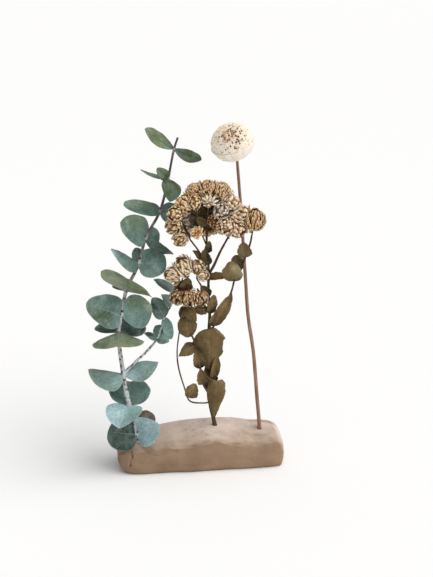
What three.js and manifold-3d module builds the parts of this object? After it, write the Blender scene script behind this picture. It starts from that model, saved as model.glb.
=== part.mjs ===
// Ikebana arrangement: three preserved stems stand in a hand-pressed block of pale clay.
// On the left is a silver-dollar eucalyptus branch, in the middle a dried everlasting stalk with its
// corymb of papery heads, and on the right a single long stem with a pale button head.
// Millimetres, +Z up, +X right and +Y away from the viewer. The origin is the centre of the
// block's underside, so the arrangement stands on Z = 0.

import * as THREE from "three";
import { mergeVertices } from "three/addons/utils/BufferGeometryUtils.js";
import Module from "manifold-3d";

const wasm = await Module();
wasm.setup();

// ---- driving dimensions ----

const GAP = 0.3; // air between pieces that touch
const BLADE = 0.75; // thickness of a leaf
const LEAF_STALK = 1.6; // width of a leaf where it leaves its stem
const LEAF_ROWS = 6; // steps along a eucalyptus leaf
const DRY_LEAF_ROWS = 5; // steps along a dry leaf
const STEM_STEP = 9; // length of one straight piece of a stem
const STALK_STEP = 11; // the same on the dried stalk
const PEDICEL_STEP = 12; // and on the thin stem under a head
const PEDICEL_RADII = [0.65, 0.8];
const PEDICEL_NECK = 3; // straight length under a head
const SLIVER = 0.03; // facets thinner than this are evened out after a join
const DRAW_SEED = 11; // starts the seeded draws that vary the florets
const FLORET_ROOT = 0.68; // how far out the florets of a dome start, as a part of its radius
const FLORET_UNEVENNESS = 0.16; // how much shorter than the radius a floret may be
const TUFT_CORE = 0.3; // radius of a tuft's middle, as a part of its bracts' length
const BRACT_WIDTH = 0.3; // width of a bract, as a part of its length
const FLORET_SHORTEST = 1.06; // a floret that could only reach this part of the core is left out
const FLORET_LOWEST = -0.55; // florets stop this far down the dome, as a part of its radius

// Outline of a leaf: lean < 1 moves its widest place towards the stem, fullness < 1 rounds it, and
// tip is how wide it ends, as a part of its width.
const ROUND = { lean: 0.85, fullness: 0.5, tip: 0.16 };
const OVATE = { lean: 0.8, fullness: 0.8, tip: 0.06 };
const LANCE = { lean: 0.7, fullness: 1.0, tip: 0.05 };
const HEART = { lean: 0.65, fullness: 0.6, tip: 0.06 };
const SPOON = { lean: 1.2, fullness: 0.6, tip: 0.12 };
const FULL = { lean: 0.85, fullness: 0.36, tip: 0.2 };
const FAN = { lean: 2.6, fullness: 0.4, tip: 0.8 };
const CORDATE = { lean: 0.6, fullness: 0.42, tip: 0.08 };

// The clay block from its left end to its right end. Each row is
// [x, underside z, front y, back y, height of the front edge, height of the crest].
const CLAY_ROWS = [
  [-70.5, 8, -11, 4, 14.5, 17.5],
  [-69, 5, -16, 9, 16.5, 20.5],
  [-65, 2, -20, 15, 18, 23],
  [-59, 0.3, -22, 20, 19, 24.5],
  [-52, 0, -23, 22, 19.5, 25.5],
  [-40, 0, -23, 23, 21, 27],
  [-24, 0, -22.5, 24, 23, 29.5],
  [-8, 0, -23.5, 24, 24.5, 31.3],
  [5, 0, -23, 24, 28.5, 32],
  [20, 0, -22.5, 24, 26.5, 31.6],
  [34, 0, -23, 24, 22.5, 30.6],
  [44, 0, -22.5, 23.5, 20.5, 28.6],
  [55, 0, -22, 23, 23, 28],
  [62.5, 0, -21, 22, 24, 26.4],
  [66.5, 0.5, -19, 19.5, 21.5, 24],
  [68.5, 3, -15, 15, 18, 20],
];

const CLAY_FRONT_FOOT = [[3, 0], [0.8, 2.5]]; // from the foot of the block in and up
const CLAY_BULGE = 0.5; // how far the front and the back stand out half way up
const CLAY_FRONT_EDGE = [[0.4, -5], [1.6, -2], [4, 0]]; // from the height of the front edge
const CLAY_LIP = 4; // where the top starts to rise, behind the front
const CLAY_SLOPE = [[0.2, 0.3], [0.45, 0.62], [0.75, 0.9]]; // parts of the way back and up
const CLAY_CREST_INSET = 12; // from the crest to the back
const CLAY_BACK_EDGE = [[-12, 0], [-6, -0.6], [-2, -3], [0, -8]]; // from the height of the crest

// Where the leaf pairs sit on the eucalyptus branch, from the clay up, and on its side twig.
const BRANCH = {
  foot: [-53, -5, 6.5],
  k: [-54, -7, 30],
  j: [-60, -10, 57],
  i: [-64, -8, 84],
  h: [-67, -5, 119],
  g: [-64, -3, 132],
  f: [-60, 0, 152],
  e: [-49, 5, 173],
  d: [-43, 9, 193],
  c: [-31, 12, 214],
  b: [-24, 13, 240],
  a: [-19, 12, 264],
  cut: [-16, 12, 273],
};
const TWIG = {
  fork: BRANCH.i,
  bend: [-53, -3, 93],
  rise: [-43, 1, 101],
  p: [-35, 4, 110],
  q: [-29, 8, 126],
  r: [-23, 12, 135],
  s: [-18, 16, 146],
  end: [-16, 17, 151],
};
const BRANCH_RADII = [2.2, 0.9];
const TWIG_RADII = [1.2, 0.7];

// Eucalyptus leaves: [node, tip, way the upper face looks, width, fold, arch, outline].
const EUCALYPTUS_LEAVES = [
  [BRANCH.a, [-42, 6, 281], [0.1, -0.8, 0.6], 13, 0.2, -2.5, SPOON],
  [BRANCH.a, [2, 5, 256], [-0.1, -0.7, 0.7], 12, 0.2, -3, SPOON],
  [BRANCH.b, [-46, 8, 249], [0, -0.3, 1], 9, 0.3, -2.5, OVATE],
  [BRANCH.b, [-33, 6, 250], [0, -1, 0.2], 9, 0.2, 1, ROUND],
  [BRANCH.b, [-24, -4, 225], [0.3, -0.8, 0.5], 17, 0.3, 2, SPOON],
  [BRANCH.c, [-60, 4, 222], [0.1, -0.75, 0.65], 14, 0.3, -1, FULL],
  [BRANCH.c, [-15, 22, 209], [0.3, -0.95, 0.2], 17, 0.2, 1, ROUND],
  [BRANCH.d, [-63, -2, 209], [0.3, -0.85, 0.4], 24, 0.25, 2, FULL],
  [BRANCH.d, [-31, 19, 194], [0.2, -0.95, 0.1], 15, 0.1, 1, ROUND],
  [BRANCH.d, [-22, -6, 183], [0.1, -0.45, 0.89], 12, 0.3, -4, OVATE],
  [BRANCH.e, [-71, -4, 188], [0.3, -0.35, 0.9], 23, -0.35, -0.5, HEART],
  [BRANCH.e, [-27, 2, 174], [-0.2, -0.9, 0.35], 24, 0.15, 2, FULL],
  [BRANCH.e, [-50, 15, 184], [0, -0.95, 0.3], 10, 0.1, 1, ROUND],
  [BRANCH.f, [-60, -19, 168], [0.4, 0.7, 0.6], 46, 0.1, -2, FULL],
  [BRANCH.f, [-58, 23, 149], [0, -0.1, 1], 24, 0.1, 1, ROUND],
  [BRANCH.g, [-92, -12, 146], [0.2, -0.9, 0.35], 27, 0.12, 1, CORDATE],
  [BRANCH.g, [-40, -9, 141], [-0.1, -0.95, 0.3], 28, 0.15, 2, SPOON],
  [BRANCH.h, [-68, -30, 116], [0, -0.3, 0.95], 41, -0.36, 2.5, ROUND],
  [BRANCH.h, [-63, 18, 127], [0, -0.5, 0.85], 42, -0.3, 2, FULL],
  [BRANCH.i, [-92, -14, 91], [0, -0.26, 0.97], 30, -0.6, 0, ROUND],
  [BRANCH.i, [-35, -2, 91], [-0.1, -0.45, 0.9], 21, -0.4, 1, OVATE],
  [BRANCH.j, [-69, -34, 48], [-0.1, -0.35, 0.95], 30, 0.3, 2, ROUND],
  [BRANCH.j, [-58, 14, 69], [0, -0.65, 0.75], 34, 0.2, 1, FULL],
  [BRANCH.k, [-78, -21, 40], [-0.1, -0.95, 0.3], 30, 0.1, 2, FULL],
  [BRANCH.k, [-36, -20, 43], [0.15, -0.9, 0.45], 26, 0.3, 2, ROUND],
  [BRANCH.k, [-42, 4, 45], [0, -0.9, 0.3], 18, 0.2, 1, FULL],
  [TWIG.p, [-46, -4, 117], [0, -0.6, 0.8], 9, 0.3, -2, OVATE],
  [TWIG.p, [-26, -1, 108], [0, -0.8, 0.6], 10, 0.2, 1, ROUND],
  [TWIG.p, [-33, 14, 118], [0, -0.9, 0.4], 9, 0.2, 1, ROUND],
  [TWIG.q, [-39, 4, 144], [0.3, -0.9, 0.2], 15, 0.2, 1, ROUND],
  [TWIG.q, [-24, 2, 109], [0.1, -0.95, 0.2], 9, 0.2, 1, ROUND],
  [TWIG.r, [-31, 7, 146], [0, -0.8, 0.6], 10, 0.3, 1, OVATE],
  [TWIG.s, [-37, 10, 158], [0, -0.6, 0.8], 11, 0.3, -1, OVATE],
  [TWIG.s, [-6, 20, 152], [0, -0.6, 0.8], 11, 0.3, 1, OVATE],
];

// Places on the dried stalk that its stems, leaves and heads start from.
const STALK = {
  foot: [13, 3, 6.5],
  clay: [12, 2, 31],
  low: [8, 2, 52],
  fork: [7, 2, 60],
  mid: [8, 2, 78],
  high: [7, 2, 104],
  upper: [8, 2, 130],
  spray: [7, 2, 146],
  crotch: [7, 2, 163],
  left: [-1, 0, 183],
  leftTop: [-8, 0, 193],
  middle: [6, 4, 186],
  heart: [6, 5, 202],
  crown: [7, 5, 215],
  right: [16, 1, 181],
  rightTop: [23, 1, 194],
  sideFork: [-11, -4, 122],
  leftKnee: [-13, -3, 138],
  sprayTop: [-15, -1, 158],
  lowSpray: [0, -3, 149],
  midSpray: [-3, -2, 161],
  ballKnee: [25, 0, 147],
  ballStem: [41, -6, 196.5],
};

// Its stems: [points, [radius at the start, radius at the end]].
const STALK_STEMS = [
  [["foot", "clay", "low", "fork", "mid", "high", "upper", "spray", "crotch"], [1.9, 1.2]],
  [["crotch", [3, 1, 174], "left", "leftTop"], [1.1, 0.7]],
  [["crotch", [7, 3, 173], "middle", "heart", "crown"], [1.2, 0.7]],
  [["crotch", [11, 1, 170], "right", "rightTop"], [1.3, 0.8]],
  [["fork", [2, 0, 70], [-1, -1, 88], [-5, -3, 107], "sideFork", "leftKnee", "sprayTop"], [1.1, 0.7]],
  [["high", [13, 2, 124], "ballKnee", [28, -3, 160], [33, -3, 169], [37, -4, 180], [40, -5, 190],
    "ballStem"], [0.9, 0.8]],
  [["low", [1, -4, 54], [-10, -8, 58], [-14, -8, 69], [-19, -8, 88], [-20, -8, 101],
    [-18, -8, 119]], [0.7, 0.6]],
  [["spray", [3, 0, 148], "lowSpray"], [0.7, 0.7]],
  [["upper", [3, -1, 150], "midSpray"], [0.7, 0.7]],
  [["rightTop", [25, -2, 197], [21, -4, 198], [23, -5, 194]], [0.6, 0.6]],
];

// Its dry leaves: [foot, tip, way the upper face looks, width, fold, arch, outline].
const STALK_LEAVES = [
  [[11, 2, 35], [13, -6, 74], [-0.2, -0.95, -0.1], 16, -0.3, 2, FAN],
  [[6, 1, 70], [-1, -9, 86], [-0.2, -0.9, 0], 11, 0.6, 1, ROUND],
  [[-11, -8, 61], [-5, -11, 74], [0, -1, 0.1], 11, 0.2, 1, ROUND],
  [[-12, -3.5, 130], [-11, -10, 114], [0, -1, 0.2], 16, 0.2, 1, ROUND],
  [[-13, -3, 139], [-4, -8, 127], [0, -0.9, 0.3], 10, 0.4, 1, OVATE],
  [[-13, -3, 139], [-17, -6, 129], [0.2, -0.9, 0.3], 8, 0.4, 1, OVATE],
  [[-4, -2, 105], [-19, -7, 97], [-0.3, -0.9, 0.3], 11, 0.3, 1, LANCE],
  [[7, 1, 82], [6, -9, 120], [0.1, -0.95, 0], 25, -0.2, 1, SPOON],
  [[0, -1, 84], [-5, -7, 102], [0, -1, 0.1], 10, 0.3, 1, ROUND],
  [[9, 2, 118], [20, -3, 109], [0.4, -0.7, 0.6], 8, -0.5, 1, ROUND],
  [[9, 2, 70], [14, 0, 97], [0.3, -0.9, 0], 8, 0.5, 1, OVATE],
  [[8, 3, 64], [9, 5, 88], [0, -1, 0], 12, 0.2, 1, FULL],
  [[11, 2, 119], [26, -1, 147], [0.3, -0.9, 0.2], 12, 0.3, 1, OVATE],
  [[8, 2, 119], [12, -4, 134], [0.2, -0.9, 0.2], 8, 0.3, 1, OVATE],
  [[27, -2, 158], [24, -8, 176], [-0.2, -0.95, 0.1], 16, 0.3, 1, ROUND],
  [[31, -3, 166], [29, 1, 179], [-0.2, -0.9, 0.2], 11, 0.2, 1, ROUND],
  [[36, -4, 178], [34, -10, 192], [-0.1, -0.95, 0.2], 12, 0.2, 1, ROUND],
  [[6, 2, 171], [3, -6, 186], [-0.1, -0.95, 0.2], 9, 0.3, 1, ROUND],
  [[2, 1, 176], [-6, 0, 184], [0, -0.9, 0.4], 6, 0.3, 1, OVATE],
  [[6, 3, 181], [7, -3, 192], [0, -0.95, 0.2], 6, 0.3, 1, ROUND],
  [[7, 2, 161], [20, -4, 162], [0, -0.7, 0.7], 8, 0.2, 0, FULL],
  [[-14, -2, 150], [-20, -3, 161], [-0.2, -0.9, 0.1], 8, 0.3, 1, ROUND],
  [[-14, -2, 150], [-10, -7, 163], [0.2, -0.9, 0.1], 10, 0.2, 1, ROUND],
  [[7, 2, 144], [0, -3, 155], [0, -0.9, 0.3], 9, 0.3, 1, ROUND],
  [[8, 2, 130], [11, -3, 147], [0.3, -0.9, 0], 9, 0.3, 1, ROUND],
  [[7, 2, 133], [-9, -5, 136], [0, -0.9, 0.4], 9, 0.2, 1, OVATE],
  [[6, 5, 200], [5, 6, 217], [0, -1, 0], 14, 0.1, 1, ROUND],
  [[6, 5, 202], [13, 1, 212], [0, -1, 0.1], 8, 0.2, 1, ROUND],
  [[6, 5, 201], [-3, 1, 211], [0, -1, 0.1], 8, 0.2, 1, ROUND],
];

// The round heads of the corymb and the side sprays: [finish, centre, radius, way it faces, place
// on the stalk that its thin stem starts from].
const HEADS = [
  ["tan", [-3, 5, 229.5], 8.6, [-0.5, 0.1, 1], "crown"],
  ["tan", [7, 4, 231.5], 8.8, [0, 0, 1], "crown"],
  ["tan", [17, 5, 229.5], 9.2, [0.5, 0.1, 1], "crown"],
  ["tan", [2, 15, 225.5], 9, [-0.2, 0.7, 0.8], "crown"],
  ["tan", [14, 16, 224.5], 9, [0.3, 0.7, 0.7], "crown"],
  ["tan", [-12, -2, 222], 8, [-0.8, -0.2, 0.7], "heart"],
  ["tan", [-5, -6, 224], 6.3, [-0.3, -0.7, 0.8], "crown"],
  ["olive", [-20.5, -7, 215.5], 7, [-0.5, -0.8, 0.4], "leftTop"],
  ["olive", [-21.5, -3, 205], 7.3, [-0.9, -0.3, -0.1], "leftTop"],
  ["olive", [-16, -2, 194.5], 7.2, [-0.8, -0.3, -0.5], "leftTop"],
  ["olive", [-10, 13, 213], 8.5, [-0.7, 0.6, 0.2], "heart"],
  ["olive", [-7, 13, 201], 8.5, [-0.5, 0.7, -0.3], "middle"],
  ["olive", [6, 21, 211], 9.2, [0, 1, 0.2], "heart"],
  ["olive", [8, 18, 198.5], 8.2, [0.1, 0.8, -0.4], "middle"],
  ["tan", [21, 14, 213], 9, [0.7, 0.6, 0.2], "heart"],
  ["tan", [20, 12, 201], 8, [0.6, 0.7, -0.4], "rightTop"],
  ["amber", [11, -4, 208.5], 5.8, [0.3, -0.9, 0.2], "heart"],
  ["pale", [16.5, -7, 217], 6.6, [0.2, -0.9, 0.3], "rightTop"],
  ["cream", [24.5, -3, 221.5], 8.3, [0.5, -0.2, 0.85], "rightTop"],
  ["cream", [30, -4, 212], 8.6, [0.95, -0.25, 0.25], "rightTop"],
  ["cream", [20, -10, 205.5], 7.6, [-0.1, -0.9, -0.2], "rightTop"],
  ["cream", [28.5, -8, 202.5], 7.6, [0.6, -0.7, -0.3], "rightTop"],
  ["tan", [42.5, -6, 208.5], 10.3, [0.1, -0.1, 1], "ballStem"],
  ["cream", [-14, -5, 171.5], 8.8, [-0.5, -0.3, 0.8], "sprayTop"],
  ["cream", [-22.5, -6, 166], 7.4, [-0.9, -0.3, 0.25], "sprayTop"],
  ["cream", [-2.5, -6, 172.5], 6, [0, -0.7, 0.7], "midSpray"],
  ["cream", [1.5, -7.5, 165], 5.4, [0.6, -0.8, -0.2], "midSpray"],
  ["dusty", [-19.5, -8, 147.5], 7, [-0.5, -0.5, -0.7], "sprayTop"],
  ["dusty", [-10.5, -12, 148.5], 7.8, [0, -0.5, -0.85], "sprayTop"],
  ["dusty", [-0.5, -10, 147], 7, [0.3, -0.5, -0.8], "lowSpray"],
];

// Heads with long pointed bracts: [name, finish, centre, way it faces, place its stem starts from,
// bract length, number of bracts, how far they spread from the way it faces, in degrees].
const TUFTS = [
  ["flower_tuft_middle", "cream", [6, -7, 222], [0, -0.45, 0.9], "heart", 9, 9, 62],
  ["flower_tuft_peach", "amber", [-2, -7, 200], [-0.5, -0.85, 0.3], "heart", 8, 9, 65],
];

// The button head on the single stem.
const BUTTON_STEM = [
  [50, 1, 6.5], [50, 1, 28], [48, 3, 55], [45, 6, 94], [41, 9, 123], [39, 12, 153],
  [37, 14, 185], [35, 16, 217], [33, 17.5, 243], [32.2, 18.3, 253.5],
];
const BUTTON_STEM_RADII = [1.7, 1.2];
const BUTTON_CENTRE = [27.5, 13, 269];
const BUTTON_AXIS = [-0.32, -0.33, 0.89];
const DISC_RADIUS = 16.6;
const DISC_HEIGHT = 13.4;
const DISC_DETAIL = 3; // how finely the disc is divided into florets
const DISC_FLORET = 1.2; // how far a floret stands out of the disc
const DISC_EDGE = -0.5; // height where the florets start
const CUP_FLOOR = -3; // height of the cup's mouth floor, where the disc sits
const CUP_RIM = [-1.6, 16.9]; // height along the axis and inner radius of the cup's rim
const CUP_PROFILE = [
  [-15, 2.2], [-14.3, 6.5], [-12.4, 10.5], [-9.5, 13.8], [-6, 16.2], [-3.2, 17.5], [-1.2, 17.9],
];
const CUP_BRACTS = 12; // papery bracts in one round of the cup
const CUP_RELIEF = 0.4; // how far a bract stands out

// Colour and roughness of each piece.
const FINISHES = {
  clay: ["#bfab9a", 0.9],
  eucalyptus: ["#5f7468", 0.6],
  stalk: ["#5c4a35", 0.8],
  tan: ["#a9855f", 0.75],
  cream: ["#d2bb9a", 0.75],
  olive: ["#a8916a", 0.75],
  amber: ["#b9855a", 0.75],
  pale: ["#c0af9f", 0.75],
  dusty: ["#a98a6c", 0.75],
  buttonStem: ["#86644f", 0.7],
  cup: ["#eedbc8", 0.7],
  disc: ["#dbc1a6", 0.85],
};

// ---- shapes ----

const point = ([x, y, z]) => new THREE.Vector3(x, y, z);

// Evenly spread draws between 0 and 1 that are the same on every run.
function seededDraw(seed) {
  let state = seed;
  return () => {
    state = (state * 48271) % 2147483647;
    return state / 2147483647;
  };
}

// A closed body from a list of corner points and a list of corner numbers, three to a triangle.
function facetedBody(corners, triangles) {
  const geometry = new THREE.BufferGeometry().setFromPoints(corners);
  geometry.setIndex(triangles);
  return geometry;
}

// Joins rings of equal point count into a closed body with a flat fan at each end.
function loft(rings) {
  const count = rings[0].length;
  const corners = rings.flat();
  const triangles = [];
  for (let r = 0; r < rings.length - 1; r += 1) {
    for (let p = 0; p < count; p += 1) {
      const here = r * count + p;
      const beside = r * count + ((p + 1) % count);
      triangles.push(here, beside, beside + count, here, beside + count, here + count);
    }
  }
  for (const [ring, flip] of [[0, true], [rings.length - 1, false]]) {
    const middle = corners.length;
    corners.push(rings[ring].reduce((sum, p) => sum.add(p), new THREE.Vector3()).divideScalar(count));
    for (let p = 0; p < count; p += 1) {
      const here = ring * count + p;
      const beside = ring * count + ((p + 1) % count);
      triangles.push(middle, flip ? beside : here, flip ? here : beside);
    }
  }
  return facetedBody(corners, triangles);
}

// A tapering stem along a smooth curve through the points.
function stem(points, [startRadius, endRadius], sides = 6, stepLength = STEM_STEP) {
  const curve = new THREE.CatmullRomCurve3(points, false, "centripetal");
  const steps = Math.max(2, Math.round(curve.getLength() / stepLength));
  const frames = curve.computeFrenetFrames(steps);
  const rings = [];
  for (let s = 0; s <= steps; s += 1) {
    const centre = curve.getPointAt(s / steps);
    const radius = startRadius + (endRadius - startRadius) * (s / steps);
    const ring = [];
    for (let p = 0; p < sides; p += 1) {
      const turn = (2 * Math.PI * p) / sides;
      ring.push(centre.clone()
        .addScaledVector(frames.normals[s], radius * Math.cos(turn))
        .addScaledVector(frames.binormals[s], radius * Math.sin(turn)));
    }
    rings.push(ring);
  }
  return loft(rings);
}

// A thin blade from a grid of points: the same triangles on both faces, and a wall round its rim.
function blade(rows, lift) {
  const columns = rows[0].length;
  const size = rows.length * columns;
  const corners = [];
  for (const side of [1, -1]) {
    rows.forEach((row, r) => row.forEach((p, c) => {
      corners.push(p.clone().addScaledVector(lift[r][c], (side * BLADE) / 2));
    }));
  }
  const triangles = [];
  for (let r = 0; r < rows.length - 1; r += 1) {
    for (let c = 0; c < columns - 1; c += 1) {
      const near = r * columns + c;
      const far = near + columns;
      triangles.push(near, far, far + 1, near, far + 1, near + 1);
      triangles.push(size + near, size + far + 1, size + far, size + near, size + near + 1, size + far + 1);
    }
  }
  const rim = [];
  for (let r = 0; r < rows.length - 1; r += 1) rim.push(r * columns);
  for (let c = 0; c < columns - 1; c += 1) rim.push((rows.length - 1) * columns + c);
  for (let r = rows.length - 1; r > 0; r -= 1) rim.push(r * columns + columns - 1);
  for (let c = columns - 1; c > 0; c -= 1) rim.push(c);
  rim.forEach((here, place) => {
    const next = rim[(place + 1) % rim.length];
    triangles.push(here, size + here, size + next, here, size + next, next);
  });
  return facetedBody(corners, triangles);
}

// A leaf: three rows of points along it, the outer two raised by the fold, bowed by the arch.
function leaf([from, to, face, width, fold, arch, outline], steps) {
  const start = point(from);
  const along = point(to).sub(start);
  const length = along.length();
  along.normalize();
  const up = point(face).projectOnPlane(along).normalize();
  const across = new THREE.Vector3().crossVectors(up, along);
  const rows = [];
  const lift = [];
  for (let s = 0; s <= steps; s += 1) {
    const u = (1 - Math.cos((Math.PI * s) / steps)) / 2;
    const swell = Math.max(0, Math.sin(Math.PI * u ** outline.lean)) ** outline.fullness;
    const half = s === 0 ? LEAF_STALK / 2 : (width / 2) * (s === steps ? outline.tip : swell);
    const middle = start.clone().addScaledVector(along, length * u)
      .addScaledVector(up, arch * Math.sin(Math.PI * u));
    rows.push([-1, 0, 1].map((side) => middle.clone()
      .addScaledVector(across, side * half)
      .addScaledVector(up, Math.abs(side) * half * fold)));
    lift.push([-1, 0, 1].map((side) => up.clone().addScaledVector(across, -side * fold).normalize()));
  }
  return blade(rows, lift);
}

// Turns a shape made along +Y to look along an axis, and moves it to its place.
function aim(geometry, axis, centre) {
  const turn = new THREE.Quaternion().setFromUnitVectors(new THREE.Vector3(0, 1, 0), axis);
  return geometry.applyQuaternion(turn).translate(centre.x, centre.y, centre.z);
}

// Raises a point on the faces of a closed faceted shape. tipOf gives the point for the middle of a
// face, or nothing where the face stays flat.
function raised(geometry, tipOf) {
  const faces = mergeVertices(stripped(geometry), 1e-4);
  const spots = faces.attributes.position;
  const corners = Array.from({ length: spots.count }, (_, n) => (
    new THREE.Vector3().fromBufferAttribute(spots, n)));
  const triangles = [];
  for (let n = 0; n < faces.index.count; n += 3) {
    const [a, b, c] = [0, 1, 2].map((k) => faces.index.getX(n + k));
    const middle = corners[a].clone().add(corners[b]).add(corners[c]).divideScalar(3);
    const tip = tipOf(middle);
    if (tip) {
      const top = corners.push(tip) - 1;
      triangles.push(a, b, top, b, c, top, c, a, top);
    } else {
      triangles.push(a, b, c);
    }
  }
  return facetedBody(corners, triangles);
}

// How far a floret can stand out before it meets the plane that parts its head from a neighbour.
// The plane lies between the two cores, so heads that crowd together press flat where they meet.
function roomTowards(direction, dome, other) {
  const between = other.centre.clone().sub(dome.centre);
  const distance = between.length();
  const share = (distance + (dome.core ** 2 - other.core ** 2) / distance) / 2;
  const slant = direction.dot(between) / distance;
  return slant > 0 ? (share - GAP / 2) / slant : Infinity;
}

// A head of florets: a faceted ball, pressed flat against its neighbours, whose free faces rise into
// points, apart from those round its stem.
function floretDome(dome, heads, draw) {
  const others = heads.filter((other) => other !== dome);
  const room = (outwards) => Math.min(...others.map((other) => roomTowards(outwards, dome, other)));
  const ball = aim(new THREE.IcosahedronGeometry(dome.core, 1), dome.axis, dome.centre);
  const spots = ball.attributes.position;
  for (let n = 0; n < spots.count; n += 1) {
    const outwards = new THREE.Vector3().fromBufferAttribute(spots, n).sub(dome.centre).normalize();
    const spot = dome.centre.clone().addScaledVector(outwards, Math.min(dome.core, room(outwards)));
    spots.setXYZ(n, spot.x, spot.y, spot.z);
  }
  return raised(ball, (middle) => {
    const outwards = middle.sub(dome.centre).normalize();
    const full = dome.radius * (1 - FLORET_UNEVENNESS * draw());
    const reach = Math.min(full, room(outwards));
    const flat = reach < dome.core * FLORET_SHORTEST || outwards.dot(dome.axis) < FLORET_LOWEST;
    return flat ? null : dome.centre.clone().addScaledVector(outwards, reach);
  });
}

// A four-sided bract along +Y, pointed at both ends and widest past its middle.
function bract(length, width) {
  const profile = [[0, 0], [width / 2, length * 0.6], [0, length]];
  return new THREE.LatheGeometry(profile.map(([x, y]) => new THREE.Vector2(x, y)), 4);
}

// Directions spread evenly over a cap round +Y, turning by the golden angle from one to the next.
function capDirections(count, spreadDegrees) {
  const lowest = Math.cos(THREE.MathUtils.degToRad(spreadDegrees));
  return Array.from({ length: count }, (_, n) => {
    const y = 1 - (1 - lowest) * ((n + 0.5) / count);
    const turn = n * Math.PI * (3 - Math.sqrt(5));
    const out = Math.sqrt(1 - y * y);
    return new THREE.Vector3(out * Math.cos(turn), y, out * Math.sin(turn));
  });
}

// The clay block: one ring of points across it for each row of the table.
function clayRing([x, under, front, back, edge, crest]) {
  const slopeStart = front + CLAY_LIP;
  const slopeEnd = back - CLAY_CREST_INSET;
  const slope = CLAY_SLOPE.map(([along, rise]) => (
    [slopeStart + (slopeEnd - slopeStart) * along, edge + (crest - edge) * rise]));
  const outline = [
    ...CLAY_FRONT_FOOT.map(([y, z]) => [front + y, under + z]),
    [front - CLAY_BULGE, (under + edge) / 2],
    ...CLAY_FRONT_EDGE.map(([y, z]) => [front + y, edge + z]),
    ...slope,
    ...CLAY_BACK_EDGE.map(([y, z]) => [back + y, crest + z]),
    [back + CLAY_BULGE, (under + crest) / 2],
    ...CLAY_FRONT_FOOT.map(([y, z]) => [back - y, under + z]).reverse(),
  ];
  return outline.reverse().map(([y, z]) => new THREE.Vector3(x, y, z));
}

// The cup of papery bracts under the button: rings of points that stand out and in by turns, once
// for each bract, then the smooth rim and the floor inside.
function cup() {
  const ring = (radius, height, relief) => Array.from({ length: CUP_BRACTS * 2 }, (_, n) => {
    const turn = (Math.PI * n) / CUP_BRACTS;
    const out = radius + (n % 2 === 0 ? relief : -relief);
    return new THREE.Vector3(out * Math.cos(turn), height, -out * Math.sin(turn));
  });
  const outside = CUP_PROFILE.map(([height, radius]) => ring(radius, height, CUP_RELIEF));
  const [rimHeight, rimRadius] = CUP_RIM;
  const inside = [ring(rimRadius, rimHeight, 0), ring(rimRadius, CUP_FLOOR, 0)];
  return aim(loft([...outside, ...inside]), point(BUTTON_AXIS).normalize(), point(BUTTON_CENTRE));
}

// ---- solids ----

function stripped(geometry) {
  geometry.deleteAttribute("normal");
  geometry.deleteAttribute("uv");
  return geometry;
}

function solid(geometry) {
  const merged = mergeVertices(stripped(geometry), 1e-4);
  return new wasm.Manifold(new wasm.Mesh({
    numProp: 3,
    vertProperties: Float32Array.from(merged.attributes.position.array),
    triVerts: Uint32Array.from(merged.index.array),
  }));
}

// Joins closed shapes into one body, and evens out the slivers that the joins leave.
function union(geometries) {
  return geometries.map(solid).reduce((joined, next) => joined.add(next)).asOriginal().simplify(SLIVER);
}

function mesh(name, body, finish) {
  const { vertProperties, triVerts } = body.getMesh();
  const geometry = new THREE.BufferGeometry();
  geometry.setAttribute("position", new THREE.BufferAttribute(vertProperties, 3));
  geometry.setIndex(new THREE.BufferAttribute(triVerts, 1));
  geometry.computeVertexNormals();
  const [color, roughness] = FINISHES[finish];
  const material = new THREE.MeshStandardMaterial({ color, roughness, metalness: 0 });
  const made = new THREE.Mesh(geometry, material);
  made.name = name;
  return made;
}

// ---- the pieces ----

const place = (spot) => point(typeof spot === "string" ? STALK[spot] : spot);
const branchPoints = Object.values(BRANCH).map(point);
const twigPoints = Object.values(TWIG).map(point);
const stalkPoints = STALK_STEMS[0][0].map(place);
const buttonPoints = BUTTON_STEM.map(point);

// A plain hole in the clay: the stem's own run, a little wider and a little deeper.
function socket(points, [startRadius, endRadius]) {
  const start = points[0].clone();
  start.z -= GAP;
  return stem([start, ...points.slice(1)], [startRadius + GAP, endRadius + GAP]);
}

function clayBase() {
  const holes = [
    socket(branchPoints, BRANCH_RADII), socket(stalkPoints, STALK_STEMS[0][1]),
    socket(buttonPoints, BUTTON_STEM_RADII)];
  const block = solid(loft(CLAY_ROWS.map(clayRing)));
  return holes.reduce((rest, hole) => rest.subtract(solid(hole)), block).asOriginal().simplify(SLIVER);
}

function eucalyptusBranch() {
  return union([
    stem(branchPoints, BRANCH_RADII), stem(twigPoints, TWIG_RADII, 5),
    ...EUCALYPTUS_LEAVES.map((row) => leaf(row, LEAF_ROWS))]);
}

const domes = HEADS.map(([finish, centre, radius, axis, from]) => ({
  finish, centre: point(centre), radius, core: radius * FLORET_ROOT, axis: point(axis).normalize(), from,
}));

// The thin stem under a head, from the stalk to just short of the head's core.
function pedicel(centre, coreRadius, axis, from) {
  const end = centre.clone().addScaledVector(axis, -(coreRadius + GAP));
  const neck = end.clone().addScaledVector(axis, -PEDICEL_NECK);
  return stem([place(from), neck, end], PEDICEL_RADII, 4, PEDICEL_STEP);
}

function driedStalk() {
  const stems = STALK_STEMS.map(([points, radii], n) => (
    stem(points.map(place), radii, n === 0 ? 6 : 5, STALK_STEP)));
  const pedicels = [
    ...domes.map((dome) => pedicel(dome.centre, dome.core, dome.axis, dome.from)),
    ...TUFTS.map(([, , centre, axis, from, length]) => (
      pedicel(point(centre), length * TUFT_CORE, point(axis).normalize(), from)))];
  return union([...stems, ...STALK_LEAVES.map((row) => leaf(row, DRY_LEAF_ROWS)), ...pedicels]);
}

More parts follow.
